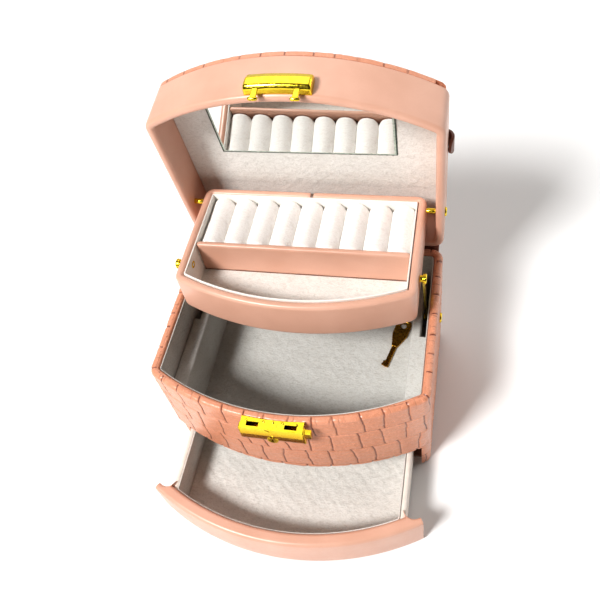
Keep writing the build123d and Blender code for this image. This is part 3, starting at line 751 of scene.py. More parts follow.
def case_relief(loop, run, inset, outward):
    """Scales outside and on the rim, fine cracks along the rim, a hem over the drawer, the rear seam."""
    lift, crease, tone = scales(loop.run, np.full(len(loop.run), run))
    place = loop.run / CRACK_PITCH + 0.2 * waves(loop.run, run, 7.0, 3.0)
    cell = np.floor(place)
    crack = np.exp(-(((place - cell - 0.3 - 0.4 * hashed(cell, 2.0)) * CRACK_PITCH / 0.4) ** 2))
    crack = crack * np.clip(hashed(cell, 4.0) * 1.5 - 0.5, 0, 1) * math.exp(-(((run - RIM_RUN) / 3.5) ** 2))
    lift, crease = lift - 0.2 * crack, np.clip(crease + 0.6 * crack, 0, 1)
    share = 1.0 if outward > 0 else max(0.0, 1 + outward * 1.1)
    seam = rear_seam(loop.run, loop.run[-1], SEAM_WIDTH)
    tuck = np.where(loop.front, tucked(HEM, run), 0)
    return share * (lift - SEAM_DEPTH * seam) - tuck, share * np.maximum(crease, seam), tone


def tucked(radius, rise):
    """How far in a round lower edge is at a height above its foot."""
    below = max(0.0, radius - rise)
    return radius - math.sqrt(radius**2 - below**2)


def case_skin():
    """The embossed walls: a band all round, and lower walls at the sides and back."""
    step = 0.62
    rounds = (2.4, 2.3)
    points, faces, tints = ring_wall(CASE, band_z, RIM_RUN, CASE_WALL, rounds, step, relief=case_relief)
    points[:, 2] = np.minimum(points[:, 2], rim_z + 0.1)
    loop = trace(CASE, step)
    count = len(loop.run)

    nose_y = CASE.corner + NOSE
    kept = ~loop.front & (loop.xy[:, 1] >= nose_y)
    split = int(np.argmin(kept))
    resume = count - int(np.argmin(kept[::-1]))
    order = np.concatenate([np.arange(resume, count), np.arange(split)])
    run = np.where(order >= resume, loop.run[order] - loop.run[-1], loop.run[order])
    arc, arc_normal = turned((half_width - NOSE, nose_y), NOSE, 0, -1.35, step)
    inner_x = half_width - CASE_WALL
    inner_y = nose_y - math.sqrt(NOSE**2 - (inner_x - half_width + NOSE) ** 2)
    arc = np.concatenate([arc, [[inner_x + 0.1, inner_y]]])
    arc_normal = np.concatenate([arc_normal, [[0.0, -1.0]]])
    arc_run = np.linspace(step, NOSE * math.pi / 2, len(arc))
    flip = np.array([-1.0, 1.0])
    outer = np.concatenate([(arc * flip)[::-1], loop.xy[order], arc])
    outward = np.concatenate([(arc_normal * flip)[::-1], loop.normal[order], arc_normal])
    outer_run = np.concatenate([run[0] - arc_run[::-1], run, run[-1] + arc_run])
    inner_rear = rear_y - CASE_WALL
    corner = CASE.radius - CASE_WALL
    bend = [
        ((inner_x - corner) + corner * math.cos(a), (inner_rear - corner) + corner * math.sin(a))
        for a in np.linspace(0, math.pi / 2, 5)
    ]
    inner = np.array([(inner_x, inner_y + 0.1), (inner_x, 0)] + bend)
    inner = np.concatenate([inner, (inner * flip)[::-1]])
    # the pattern's run jumps where the loop closes, so the far side takes it from the loop's end
    pattern = np.where(outer_run < 0, outer_run + loop.run[-1], outer_run)
    seam = rear_seam(pattern, loop.run[-1], SEAM_WIDTH)
    lower, creases, tones = [], [tints["crease"]], [tints["tone"]]
    levels = np.concatenate([[0.0, 0.3, 0.9], np.linspace(1.4, band_z, round(band_z / step))])
    for z in levels:
        lift, crease, tone = scales(pattern, np.full(len(pattern), z - band_z))
        side = lift - SEAM_DEPTH * seam - tucked(FOOT_ROUND, z)
        ring = np.concatenate([outer + outward * side[:, None], inner])
        lower.append(np.column_stack([ring, np.full(len(ring), z)]))
        creases.append(np.concatenate([np.maximum(crease, seam), np.zeros(len(inner))]))
        tones.append(np.concatenate([tone, np.full(len(inner), 0.5)]))
    lower_faces = woven(len(lower), len(lower[0]), caps=(True, True))
    vertices, faces = joined((points, faces), (np.concatenate(lower), lower_faces))
    made(
        "case_leather", vertices, faces, "case", CROC,
        ("case_side_left", "case_side_right", "case_back", "case_front_band"),
        {"crease": np.concatenate(creases), "tone": np.concatenate(tones)},
    )


def lining(name, node, body, material, outline, top, thickness, rounds, step, shift=0.0):
    """A velvet liner in place of its node, up to height top."""
    base = low(node)[2]
    points, faces, tints = ring_wall(outline, base, top - base, thickness, rounds, step)
    points[:, 1] += shift
    made(name, points, faces, body, material, (node,), tints)


def floor_velvet(name, node, body, material, outline, crinkle, step, seed=0.0, shift=0.0):
    """A velvet floor pad in place of its node."""
    base, top = low(node)[2], high(node)[2]
    points, faces, tints = pad(
        outline, base, top - base, edge=0.5, crown=0.0, crinkle=crinkle, step=step, seed=seed
    )
    points[:, 1] += shift
    made(name, points, faces, body, material, (node,), tints)


def case_inside():
    """Velvet liner, floor and the two ledges."""
    top = high("compartment_liner")[2] - 1.0
    liner = shrunk(CASE, CASE_WALL + 0.15)
    lining(
        "compartment_velvet", "compartment_liner", "case", SHADED_CASE_VELVET, liner, top,
        thickness=0.75, rounds=(0.37, 0.36), step=1.6,
    )
    floor = shrunk(CASE, CASE_WALL + LINER + 0.1)
    floor_velvet("compartment_floor", "floor_pad", "case", SHADED_CASE_VELVET, floor, crinkle=0.17, step=1.4)
    bow_radius, centre = arc_of(CASE)
    inside = bow_radius - CASE_WALL - LINER
    for hand, sign in (("left", -1), ("right", 1)):
        node = f"ledge_{hand}"
        lowest, highest = low(node), high(node)
        near, far = sorted((abs(lowest[0]), abs(highest[0])))
        near, far = near + 0.05, far - 0.05
        outline = [(x, centre - math.sqrt(inside**2 - x**2) + 0.2) for x in np.linspace(near, far, 6)]
        outline += [(far, SLOT_FRONT), (SLOT_IN, SLOT_FRONT), (SLOT_IN, highest[1]), (near, highest[1])]
        outline = [(sign * x, y) for x, y in outline][::sign]
        points, faces = slab(outline, lowest[2], highest[2], rounding=1.2)
        made(f"{node}_velvet", points, faces, "case", SHADED_CASE_VELVET, (node,), sharp=60)


# ---- lid ----
def lid_shell():
    """Smooth band, embossed cushion on top and velvet panel inside."""
    band_top, cushion_height = 31.5, 4.2
    roll_depth, roll_run, roll_width = 0.8, 38.5, 5.5
    smooth = soft(amount=0.10, size=45, seam=0.45)

    def rolled_rim(loop, run, inset, outward):
        lift, crease, tone = smooth(loop, run, inset, outward)
        roll = max(0.0, -outward) * math.exp(-(((run - roll_run) / roll_width) ** 2))
        return lift + roll_depth * roll, crease, tone

    points, faces, tints = ring_wall(
        LID, band_top, band_top - 0.3, LID_WALL, rounds=(2.4, 2.2), step=1.3, relief=rolled_rim,
        foot_round=0.9, upside_down=True,
    )
    made("lid_band_leather", raised(points), faces, "lid", PINK, ("lid_band",), tints)

    def top_scales(x, y):
        return scales(x + 200.0, y + 31.0)

    cushion = shrunk(LID, 0.25)
    points, faces, tints = pad(
        cushion, band_top, cushion_height, edge=1.9, crown=0.6, crinkle=0.0, step=0.85, relief=top_scales
    )
    piece = made("lid_cushion", raised(points), faces, "lid", CROC, ("lid_pad",), tints)

    panel_v, panel_height = 26.0, 2.5
    panel = shrunk(LID, LID_WALL + 0.1)
    points, faces, tints = pad(panel, 0.0, panel_height, edge=0.5, crown=0.0, crinkle=0.12, step=1.3)
    points[:, 2] = panel_v + panel_height - points[:, 2]
    made("lid_panel_velvet", raised(points), faces, "lid", VELVET, ("lid_panel",), tints)


def mirror():
    """Mirror glass on the velvet panel, leaning forwards, a little warped: silver, pale bevel, dark edge."""
    half, near, far = high("mirror_glass")[0], 62.7, 112.7
    front_v, back_v, bevel = 24.5, 26.0, 2.1
    columns, rows = 25, 13
    lean, twist, warp = math.tan(math.radians(2.15)), math.tan(math.radians(0.64)), 0.0003

    def layer(inset, drop):
        across = np.linspace(inset - half, half - inset, columns)
        x, u = np.meshgrid(across, np.linspace(near + inset, far - inset, rows), indexing="ij")
        face_v = front_v + drop + (warp * x - lean) * (u - (near + far) / 2) + twist * x
        return np.stack([x, -u, np.minimum(face_v, back_v)], 2)

    side, up = border_of(columns, rows)
    foot = layer(0.0, 0.0)[side, up]
    foot[:, 2] = back_v + 0.2
    rings = [foot, layer(0.0, 0.4)[side, up], layer(1.0, 0.12)[side, up]]
    points, faces = covered(rings, layer(bevel, 0.0))
    piece = made(
        "mirror_glass_plate", raised(points), faces, "lid", MIRROR, ("mirror_glass",), sharp=1
    )
    piece.data.materials.append(GLASS)
    piece.data.materials.append(BEVEL)
    first_top = len(side) * len(rings)
    for polygon in piece.data.polygons:
        on_top = sum(k >= first_top for k in polygon.vertices)
        silver = on_top == len(polygon.vertices)
        polygon.material_index = 0 if silver else 2 if on_top else 1


def hasp():
    """Half-round cover on the lid's front and the two hooks under it."""
    left, right = low("hasp_cover")[0], high("hasp_cover")[0]
    bow_radius, centre = arc_of(LID)
    near_v, far_v, reach, bite = 1.6, 13.5, 6.0, 0.4
    profile = filleted(
        [(0.3, far_v), (4.3, far_v - 0.2), (reach, 9.0), (reach, near_v + 1.6), (4.2, near_v), (0.4, near_v)],
        (1.8, 3.4, 1.6, 0.8), 0.5,
    )
    bend, end_round = 1.6, 1.4
    length = right - left
    near_end = bend * np.array(quarter(6))[:, 0]
    stations = np.concatenate([near_end, np.linspace(bend, length - bend, 16)[1:-1], length - near_end[::-1]])
    rings = []
    for station in stations:
        x = left + station
        surface = -centre + math.sqrt(bow_radius**2 - x**2)
        edge = min(station, length - station)
        shrink = end_round * (1 - bulge(edge, bend))
        ring = []
        for reached, v in profile:
            inward = shrink * 0.6 if v < 6 else -shrink * 0.6
            ring.append((x, -(surface + max(0.2, reached - shrink)), v + inward))
        ring += [(x, bite - surface, near_v + bite), (x, bite - surface, far_v - bite)]
        rings.append(ring)
    points = np.array(rings).reshape(-1, 3)
    faces = woven(len(rings), len(rings[0]), caps=(True, True))
    made("hasp_gold", raised(points), faces, "lid", GOLD, ("hasp_cover",), sharp=30)
    hooks = []
    hook_y, hook_spread = -(rear_y - (front_y - 3.4)), 11.5
    offsets = (-2.7, -2.5, -1.6, 0.0, 1.6, 2.5, 2.7)
    radii = (0.4, 0.8, 1.1, 1.15, 1.1, 0.8, 0.4)
    for x in ((left + right) / 2 - hook_spread, (left + right) / 2 + hook_spread):
        leg = [(x, hook_y, v) for v in np.linspace(1.7, -5.4, 8)]
        hooks.append(swept(leg, round_section(width=3.4, thickness=1.4, radius=0.5), (0, 1, 0)))
        roll = [(x + offset, hook_y, -5.2) for offset in offsets]
        hooks.append(swept(roll, lambda k: disc(12, radii[k]), (0, 0, 1)))
    vertices, faces = joined(*hooks)
    made("hasp_hooks_gold", raised(vertices), faces, "lid", GOLD, ("hasp_hooks",), sharp=30)


def strap():
    """Dark strap handle with two rows of stitches."""
    width, thickness, step = 13.6, 2.0, 1.1
    side_x = half_width + thickness / 2
    end_v, top_v, bow_out = 26.0, 36.0, 3.2
    shoulder = half_width - 14
    right = [(shoulder, top_v + 4), (side_x + bow_out, top_v - 1), (side_x, end_v)]
    left = [(-x, v) for x, v in right[::-1]]
    line = filleted([*left, (0, top_v + 11), *right], (5, 20, 200, 20, 5), step)
    middle_y = -(rear_y - front_y) / 2
    path = np.column_stack([line[:, 0], np.full(len(line), middle_y), line[:, 1]])
    count = len(path)

    def section(k):
        """Full width along the strap, its two ends rounded off."""
        share = max(math.sqrt(0.02), bulge(min(k, count - 1 - k) * step, 6.0))
        return round_section(width * share, thickness, 0.7 * min(1.0, share + 0.1))

    tangent = np.gradient(path, axis=0)
    ups = np.cross((0, 1, 0), tangent)
    ups = -ups / np.linalg.norm(ups, axis=1, keepdims=True)
    vertices, faces = swept(path, section, ups)
    made("handle_leather", raised(vertices), faces, "lid", BROWN, ("handle_strap",))
    stitches = []
    radii = (0.12, 0.26, 0.3, 0.26, 0.12)
    share = np.linspace(0, 1, len(radii))[:, None]
    for side in (-1, 1):
        row = path + ups * (thickness / 2 + 0.02) + np.array([0, side * (width / 2 - 1.9), 0])
        for start in range(7, count - 9, 3):
            thread = row[start] * (1 - share) + row[start + 2] * share
            thread = thread + ups[start] * (np.sin(share * math.pi) * 0.12)
            stitches.append(swept(thread, lambda k: disc(6, radii[k]), ups[start]))
    vertices, faces = joined(*stitches)
    made("handle_stitches", raised(vertices), faces, "lid", STITCH)


def spine():
    """Leather hinge across the back, glued to the case and to the lid and bending between them."""
    half, thickness = high("spine_leather")[0], 0.8
    glue, wave, lid_flap = 0.05, 0.1, 10.0
    lean = np.array([math.sin(LID_OPEN), math.cos(LID_OPEN)])
    hinge = np.array([rear_y, rim_z])
    down = low("spine_leather")[2]
    line = [np.array([rear_y, z]) for z in np.linspace(down, rim_z - 1.0, 12)]
    line += [hinge + np.array([0.0, -0.5]), hinge, hinge + lean * 0.5]
    line += [hinge + lean * run for run in np.linspace(1.0, lid_flap, 10)]
    line = np.array(line)
    tangent = np.gradient(line, axis=0)
    tangent /= np.linalg.norm(tangent, axis=1, keepdims=True)
    away = np.column_stack([tangent[:, 1], -tangent[:, 0]])
    xs = np.linspace(-half, half, 86)
    rows, columns = len(line), len(xs)
    glued, outer = [], []
    for k, (place, out) in enumerate(zip(line, away)):
        fade = 0.5 if k in (0, rows - 1) else 1.0
        wavy = fade * thickness + wave * waves(xs, np.full(columns, k * 2.0), 26, 1.0)
        for layer, lift in ((glued, np.full(columns, glue)), (outer, wavy)):
            layer.append(np.column_stack([xs, place[0] + out[0] * lift, place[1] + out[1] * lift]))
    grid = np.concatenate(glued + outer)
    size = rows * columns
    faces = woven(rows, columns, wrap_columns=False)
    faces += [tuple(size + k for k in face[::-1]) for face in woven(rows, columns, wrap_columns=False)]
    rim = list(range(columns)) + [columns * (k + 1) - 1 for k in range(1, rows)]
    rim += list(range(size - 2, size - columns - 1, -1)) + [columns * k for k in range(rows - 2, 0, -1)]
    for a, b in zip(rim, rim[1:] + rim[:1]):
        faces.append((a, b, size + b, size + a))
    piece = made(
        "spine_hinge", grid, faces, None, BROWN, ("spine_leather",),
        {"crease": np.zeros(2 * size)},
    )
    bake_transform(piece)


# ---- tray ----
def tray():
    """Smooth leather tray with a velvet liner, a divider and a velvet floor."""
    base, top = low("tray_wall")[2], high("tray_wall")[2]
    points, faces, tints = ring_wall(
        TRAY, base, top - base, TRAY_WALL, rounds=(2.4, 2.2), step=1.1,
        relief=soft(amount=0.09, size=40, seam=0.55), foot_round=1.5,
    )
    made("tray_leather", points, faces, "tray", PINK, ("tray_wall",), tints)
    liner = shrunk(TRAY, TRAY_WALL + 0.35)
    lining(
        "tray_liner_cloth", "tray_liner", "tray", LINER_EDGE, liner, top - 0.2,
        thickness=1.0, rounds=(0.42, 0.42), step=1.1,
    )
    floor = shrunk(TRAY, TRAY_WALL + 1.1, rear=low("tray_divider")[1], radius=0.8)
    floor_velvet("tray_floor_velvet", "tray_floor_pad", "tray", VELVET, floor, crinkle=0.12, step=1.2)
    base_low, base_high = low("ring_base_pad"), high("ring_base_pad")
    points, faces = rounded_box(base_low, base_high, radius=0.5, step=1.6, puff=0.1)
    piece = made("ring_base_velvet", points, faces, "tray", VELVET, ("ring_base_pad",))
    divider_low, divider_high = low("tray_divider"), high("tray_divider")
    points, faces = rounded_box(divider_low, divider_high, radius=1.9, step=2.0, puff=0.12, seed=3.0)
    made("tray_divider_leather", points, faces, "tray", PINK, ("tray_divider",))


ROLL_SCALE = 20.0


def roll_shape(width, height, length, step):
    """A ring roll before it is stuffed: arched section with soft ends."""
    half, soft_end = width / 2, 1.2
    arch = [(half * math.cos(a), height - half + half * math.sin(a)) for a in np.linspace(math.pi, 0, 19)]
    foot = [(x, 0.0) for x in np.linspace(half, -half, 9)]
    section = np.array([foot[-1], *arch, *foot[:-1]])
    middle = np.array([0.0, height * 0.42])
    near_end = soft_end * np.array(quarter(8))[:, 0]
    inner = np.linspace(soft_end, length - soft_end, round((length - 2 * soft_end) / step))[1:-1]
    points = []
    for station in np.concatenate([near_end, inner, length - near_end[::-1]]):
        share = bulge(min(station, length - station), soft_end)
        own = middle + (section - middle) * (0.9 + 0.1 * share)
        own[:, 1] = np.maximum(own[:, 1], 0)
        points.append(np.column_stack([own[:, 0], np.full(len(own), station), own[:, 1]]))
    return np.concatenate(points), woven(len(points), len(section), caps=(True, True))


def stuffed(vertices, faces, voxel, cap, seed):
    """The shape remeshed, swollen by cloth simulation and capped to cap millimetres of movement.

    It is simulated at ROLL_SCALE times its size, where the solver's forces suit it."""
    mesh = bpy.data.meshes.new("stuffing")
    mesh.from_pydata((np.asarray(vertices) * MM * ROLL_SCALE).tolist(), [], faces)
    piece = bpy.data.objects.new("stuffing", mesh)
    bpy.context.scene.collection.objects.link(piece)
    bpy.context.view_layer.objects.active = piece
    remesh = piece.modifiers.new("remesh", "REMESH")
    remesh.mode = "VOXEL"
    remesh.voxel_size = voxel * MM * ROLL_SCALE
    bpy.context.view_layer.update()
    even = bpy.data.meshes.new_from_object(piece.evaluated_get(bpy.context.evaluated_depsgraph_get()))
    piece.modifiers.clear()
    piece.data = even
    rest = np.array([v.co for v in even.vertices])
    noise = waves(rest[:, 0] + rest[:, 2], rest[:, 1], 0.25, seed)
    rest_mm = rest / (MM * ROLL_SCALE)
    cloth = piece.modifiers.new("cloth", "CLOTH")
    cloth.settings.use_pressure = True
    cloth.settings.uniform_pressure_force = 4.0
    cloth.settings.effector_weights.gravity = 0.0
    cloth.settings.mass = 0.3
    for number in range(1, 21):
        bpy.context.scene.frame_set(number)
    evaluated = piece.evaluated_get(bpy.context.evaluated_depsgraph_get())
    swollen = np.array([v.co for v in evaluated.data.vertices]) / (MM * ROLL_SCALE)
    piece.modifiers.clear()
    bpy.context.scene.frame_set(1)
    move = swollen - rest_mm
    length = np.linalg.norm(move, axis=1, keepdims=True)
    move *= np.minimum(1, cap / np.maximum(length, 1e-6))
    rest_mm = rest_mm + move
    rest_mm[:, 2] += 0.12 * noise * np.clip(rest_mm[:, 2] / 6, 0, 1)
    faces = [tuple(p.vertices) for p in even.polygons]
    bpy.data.objects.remove(piece)
    return rest_mm, faces


def ring_rolls():
    """Nine velvet rolls, each stuffed on its own."""
    width = high("ring_roll_1")[0] - low("ring_roll_1")[0]
    for number in range(1, 10):
        node = f"ring_roll_{number}"
        lowest, highest = low(node), high(node)
        length, height = highest[1] - lowest[1], highest[2] - lowest[2]
        shape = roll_shape(width - 0.4, height - 0.2, length - 0.2, step=1.5)
        vertices, faces = stuffed(*shape, voxel=1.0, cap=0.5, seed=number * 1.7)
        vertices = vertices + np.array([(lowest[0] + highest[0]) / 2, lowest[1] + 0.2, lowest[2] + 0.05])
        vertices[:, 0] = np.clip(vertices[:, 0], lowest[0] - 0.14, highest[0] + 0.14)
        vertices[:, 2] = np.maximum(vertices[:, 2], lowest[2])
        name = f"ring_cushion_{number}"
        piece = made(name, vertices, faces, "tray", LIT_ROLL_VELVET, (node,), sharp=180)
        smooth = piece.modifiers.new("smooth", "SUBSURF")
        smooth.levels = smooth.render_levels = 1


# ---- drawer ----
FRONT_THICKNESS = 8.4
SIDE_BOARD = 3.6
box_half = high("drawer_box")[0]
box_rear = high("drawer_box")[1]


def front_depth(outer, inward):
    """How thick the front is at a place: less where the scoop or the rear of its end cuts it short."""
    covers_x = box_half - 2.4
    scoop_x, scoop_y, scoop_radius = half_width - NOSE, CASE.corner + NOSE + DRAWER_PROUD, NOSE + 0.5
    flange_y = CASE.corner + 3.8 + DRAWER_PROUD
    for trial in np.arange(0.6, FRONT_THICKNESS + 8, 0.04):
        x, y = outer + inward * trial
        in_scoop = math.hypot(abs(x) - scoop_x, y - scoop_y) < scoop_radius
        if abs(x) > covers_x and (in_scoop or y > flange_y):
            return max(trial, 1.0)
        if abs(x) <= covers_x and trial >= FRONT_THICKNESS:
            break
    return FRONT_THICKNESS


def drawer_front():
    """Smooth bowed front with rounded edges and scooped ends."""
    bow_radius, centre = arc_of(CASE)
    base = low("drawer_front")[2]
    height = high("drawer_front")[2] - base
    tip = math.asin(half_width / bow_radius)
    wing = tip * 0.86
    angles = np.concatenate([
        np.linspace(-tip, -wing, 60)[:-1], np.linspace(-wing, wing, 110), np.linspace(wing, tip, 60)[1:],
    ])
    sections = []
    for angle in angles:
        outer = np.array([bow_radius * math.sin(angle), centre - bow_radius * math.cos(angle)])
        inward = np.array([-math.sin(angle), math.cos(angle)])
        depth = front_depth(outer, inward)
        foot, head = min(1.8, depth * 0.45), min(2.6, depth * 0.47)
        ring = corner_arcs([
            (foot, foot, foot, 180, 6), (depth - foot, foot, foot, 270, 6),
            (depth - head, height - head, head, 0, 8), (head, height - head, head, 90, 8),
        ])
        swell = 0.08 * waves(angle * 160, 0, 40, 1.0)
        ring += [(-swell, foot + share * (height - foot - head)) for share in (0.75, 0.5, 0.25)]
        sections.append([(*(outer + inward * d), base + z) for d, z in ring])
    vertices = np.array(sections).reshape(-1, 3) + np.array([0, drawer_shift, 0])
    faces = woven(len(sections), len(sections[0]), caps=(True, True))
    made(
        "drawer_front_leather", vertices, faces, "drawer", PINK, ("drawer_front",),
        {"crease": np.zeros(len(vertices))}, sharp=50,
    )


def drawer_sides():
    """Two side boards and a rear board in cream cloth."""
    base, top = low("drawer_box")[2], high("drawer_box")[2]
    front_end = drawer_shift + CASE.corner - 2.0
    half, middle = SIDE_BOARD / 2, box_half - SIDE_BOARD / 2
    boards = [
        rounded_box(
            (x - half, front_end, base), (x + half, box_rear, top), radius=1.5, step=3.0, puff=0.06, seed=x
        )
        for x in (-middle, middle)
    ]
    rear_half, rear_front = box_half - 0.3, box_rear - SIDE_BOARD
    boards.append(rounded_box(
        (-rear_half, rear_front, base + 0.1), (rear_half, box_rear, top - 0.05), radius=1.5, step=3.0
    ))
    vertices, faces = joined(*boards)
    made("drawer_sides", vertices, faces, "drawer", EDGE_CLOTH, ("drawer_box",))


def drawer_inside():
    """Velvet liner and floor."""
    inner_half, inner_rear = box_half - SIDE_BOARD - 0.05, box_rear - drawer_shift - SIDE_BOARD
    top = high("drawer_liner")[2]
    liner = shrunk(CASE, FRONT_THICKNESS, half=inner_half, rear=inner_rear, radius=1.4)
    lining(
        "drawer_liner_velvet", "drawer_liner", "drawer", SHADED_DRAWER_VELVET, liner, top,
        thickness=0.9, rounds=(0.42, 0.4), step=1.4, shift=drawer_shift,
    )
    floor = shrunk(CASE, FRONT_THICKNESS + 0.9, half=inner_half - 0.9, rear=inner_rear - 0.9, radius=0.8)
    floor_velvet(
        "drawer_floor_velvet", "drawer_floor_pad", "drawer", SHADED_DRAWER_VELVET, floor,
        crinkle=0.2, step=1.0, seed=3.0, shift=drawer_shift,
    )


# ---- key ----
def key():
    """Flat key: broad tapered head with a hole and a raised rim, shank, stepped bit."""
    z = (low("key")[2] + high("key")[2]) / 2
    turn = math.atan2(0.27, 1)
    origin = np.array([57.5, 26.0])
    along = np.array([math.sin(turn), math.cos(turn)])
    across = np.array([-along[1], along[0]])

    def place(a, b, rise=0.0):
        return (*(origin + along * a + across * b), z + rise)

    head_end, head_half, neck_half = 22.4, 5.45, 2.0
    outline = filleted(
        [
            (10, -head_half), (head_end, -head_half), (head_end, head_half), (9.5, head_half),
            (-1, neck_half), (-1, -neck_half), (9.5, -head_half), (11, -head_half),
        ],
        (3, 3, 3, 0.5, 0.5, 3), 0.7,
    )
    hole, hole_radius = np.array([17.5, 0.0]), 2.2
    rings = []
    for edge in outline[:-1]:
        spoke = (edge - hole) / np.linalg.norm(edge - hole)
        rim = hole + spoke * hole_radius
        section = [
            (edge, -0.55), (edge, 0.55), (edge - spoke * 0.3, 0.8), (edge - spoke, 0.8),
            (edge - spoke * 1.4, 0.5), (rim + spoke * 0.3, 0.5), (rim, 0.3), (rim, -0.5),
            (edge - spoke * 0.3, -0.8),
        ]
        rings.append([place(*at, rise) for at, rise in section])
    points = np.array(rings).reshape(-1, 3)
    shapes = [(points, woven(len(rings), len(rings[0]), wrap_rows=True))]
    shank = [place(a, 0.0) for a in (-18.1, -17.8, -10.0, -0.5, 0.5)]
    shapes.append(swept(shank, round_section(width=3.4, thickness=1.5, radius=0.5, count=4), (0, 0, 1)))
    for a, reach in ((-16.9, 3.3), (-14.8, 2.9)):
        bit = [place(a, b) for b in np.linspace(0.2, reach, 5)]
        bit_section = round_section(width=1.6, thickness=1.4, radius=0.3, count=3)
        shapes.append(swept(bit, bit_section, (0, 0, 1)))
    vertices, faces = joined(*shapes)
    made("key_metal", vertices, faces, "key", OLD_GOLD, ("key",), sharp=35)


# ---- lock dress and other hardware ----
def lock_dress():
    """End caps, studs, the raised rib on the front and the ring round the keyhole."""
    lowest, highest = low("lock_case"), high("lock_case")
    lock_x = (lowest[0] + highest[0]) / 2
    face_y, top = lowest[1], highest[2]
    cap_half, cap_low, cap_high = 0.6, (face_y + 0.9, lowest[2] + 0.8), (face_y + 5.2, top - 1.2)
    shapes = [
        rounded_box((x - cap_half, *cap_low), (x + cap_half, *cap_high), radius=0.45, step=2.0)
        for x in (lowest[0] - 0.5, highest[0] + 0.1)
    ]
    radii = (0.75, 0.75, 0.55, 0.2)
    for x in (-15.5, -5.0, 0.8, 6.5, 15.0):
        stud = [(lock_x + x, face_y + 5.9, top + rise) for rise in (-0.4, 0.25, 0.45, 0.55)]
        shapes.append(swept(stud, lambda k: disc(14, radii[k]), (0, 1, 0)))
    plug_z = (low("key_plug")[2] + high("key_plug")[2]) / 2
    keyhole, ring_radius, wire = np.array([lock_x, face_y + 0.05, plug_z]), 3.15, disc(10, 0.42)
    rings = []
    for a in np.linspace(0, 2 * math.pi, 40, endpoint=False):
        out = np.array([math.cos(a), 0, math.sin(a)])
        rings.append([keyhole + out * (ring_radius + w) + np.array([0, h, 0]) for w, h in wire])
    shapes.append((np.array(rings).reshape(-1, 3), woven(len(rings), len(wire), wrap_rows=True)))
    rib = filleted(
        [
            (lock_x - 3.6, top - 1.2), (lock_x - 1.4, top - 1.6),
            (lock_x + 0.8, plug_z + 4.6), (lock_x + 0.6, plug_z + 3.2),
        ],
        (1.5, 1.5), 0.4,
    )
    back = np.clip((rib[:, 1] - (top - 6)) / 6, 0, 1) * 0.9
    path = np.column_stack([rib[:, 0], face_y + 0.06 + back, rib[:, 1]])
    shapes.append(swept(path, disc(8, 0.3), (0, 1, 0)))
    vertices, faces = joined(*shapes)
    made("lock_trim", vertices, faces, "case", GOLD, sharp=30)


def eased(node):
    """Softens a CAD node's sharp edges."""
    weld = node.modifiers.new("weld", "WELD")
    weld.merge_threshold = 0.02 * MM
    bevel = node.modifiers.new("bevel", "BEVEL")
    bevel.width = 0.18 * MM
    bevel.segments = 2
    bevel.limit_method = "ANGLE"
    bevel.angle_limit = math.radians(40)


def finish_nodes():
    """Materials, and softened edges, for the CAD nodes that stay."""
    paired = ("arm", "arm_rivet", "lid_pivot", "case_pivot")
    pairs = [f"{part}_{hand}" for part in paired for hand in ("left", "right")]
    finishes = [
        (GOLD, [*pairs, "lock_pins", "key_plug", "tray_eyelets"]),
        (LOCK_GOLD, ["lock_case", "push_button", "latch_slider"]),
        (BOARD, ["base_board", "lid_board", "tray_bottom", "drawer_rail_left", "drawer_rail_right"]),
        (EDGE_CLOTH, ["middle_board", "drawer_bottom"]),
        (STEEL, ["latch_spring"]),
    ]
    for material, names in finishes:
        for name in names:
            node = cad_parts[name]
            for place in range(len(node.data.materials)):
                node.data.materials[place] = material
            if material in (GOLD, LOCK_GOLD):
                eased(node)


case_skin()
case_inside()
lid_shell()
mirror()
hasp()
strap()
spine()
tray()
ring_rolls()
drawer_front()
drawer_sides()
drawer_inside()
key()
lock_dress()
finish_nodes()

# ---- floor, light and camera ----
def pale_floor():
    """A wide pale floor just under the chest."""
    size, z = 9, -0.0004
    mesh = bpy.data.meshes.new("floor")
    corners = [(-size, -size, z), (size, -size, z), (size, size, z), (-size, size, z)]
    mesh.from_pydata(corners, [], [(0, 1, 2, 3)])
    m = Nodes("pale_floor", {"Roughness": 0.65})
    m.colour(m.mixed(m.spread(m.noise(400, 2.0), 0.3, 0.7), (0.95, 0.955, 0.965), (0.93, 0.935, 0.945)))
    mesh.materials.append(m.material)
    floor = bpy.data.objects.new("floor", mesh)
    bpy.context.scene.collection.objects.link(floor)


def area_light(name, place, aim, size, power, colour):
    """A square soft light that faces a point."""
    data = bpy.data.lights.new(name, "AREA")
    data.size = size
    data.energy = power
    data.color = colour
    lamp = bpy.data.objects.new(name, data)
    lamp.location = place
    lamp.rotation_mode = "QUATERNION"
    lamp.rotation_quaternion = (Vector(aim) - Vector(place)).to_track_quat("-Z", "Y")
    bpy.context.scene.collection.objects.link(lamp)


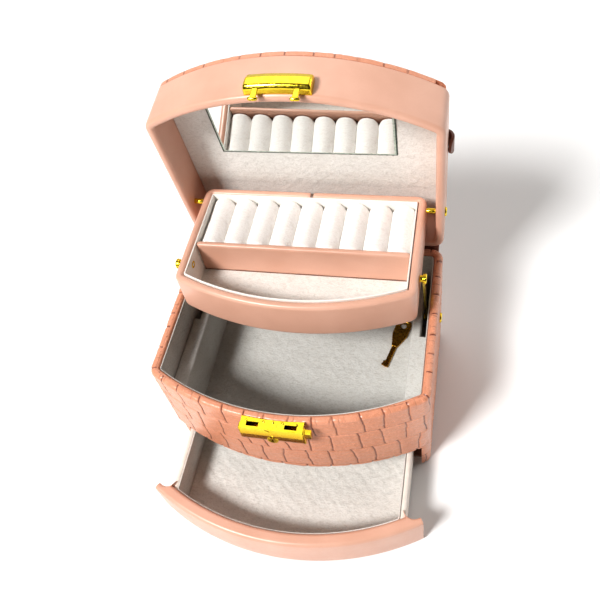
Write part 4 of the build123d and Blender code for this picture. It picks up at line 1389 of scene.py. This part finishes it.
def studio():
    """Grey studio walls: dark in front of the chest, bright behind it."""
    world = bpy.data.worlds.new("studio")
    world.use_nodes = True
    tree = world.node_tree
    direction = added(tree, "TexCoord", {}).outputs["Generated"]
    depth = added(tree, "SeparateXYZ", {"Vector": direction}).outputs["Y"]
    share = added(tree, "MapRange", {"From Min": -0.1, "From Max": 0.8, "Value": depth}).outputs["Result"]
    walls = mixed_colour(tree, share, (0.05, 0.046, 0.04), (0.85, 0.83, 0.80))
    tree.links.new(walls, tree.nodes["Background"].inputs["Color"])
    bpy.context.scene.world = world


def viewpoint():
    """The fitted camera: its place, its turn and a slightly shifted picture."""
    place = Vector((0.0995, -0.23755, 0.45597))
    yaw, pitch, roll = math.radians(19.31), math.radians(51.48), math.radians(-11.61)
    forward = Vector((-math.sin(yaw) * math.cos(pitch), math.cos(yaw) * math.cos(pitch), -math.sin(pitch)))
    level = Vector((math.cos(yaw), math.sin(yaw), 0))
    upright = level.cross(forward)
    across = math.cos(roll) * level + math.sin(roll) * upright
    above = math.cos(roll) * upright - math.sin(roll) * level
    data = bpy.data.cameras.new("camera")
    data.sensor_width = 36
    data.lens = 41.59
    data.shift_x = -0.0223
    data.shift_y = -0.0309
    data.clip_start = 0.01
    camera = bpy.data.objects.new("camera", data)
    turn = Matrix((across, above, -forward)).transposed()
    camera.matrix_world = Matrix.Translation(place) @ turn.to_4x4()
    bpy.context.scene.collection.objects.link(camera)
    bpy.context.scene.camera = camera


pale_floor()
area_light("key_light", (-1.20, -1.64, 2.33), (0, 0, 0.07), size=0.75, power=110, colour=(1.0, 0.995, 0.98))
area_light("back_light", (-0.38, 1.05, 1.5), (0, 0, 0.1), size=1.1, power=5, colour=(1.0, 0.99, 0.97))
area_light("fill_light", (1.25, 0.62, 0.6), (0, 0, 0.1), size=1.2, power=5, colour=(1.0, 0.98, 0.96))
studio()
viewpoint()
bpy.context.scene.view_settings.view_transform = "Standard"
bpy.context.scene.view_settings.exposure = 0.1
bpy.context.scene.view_settings.gamma = 0.88
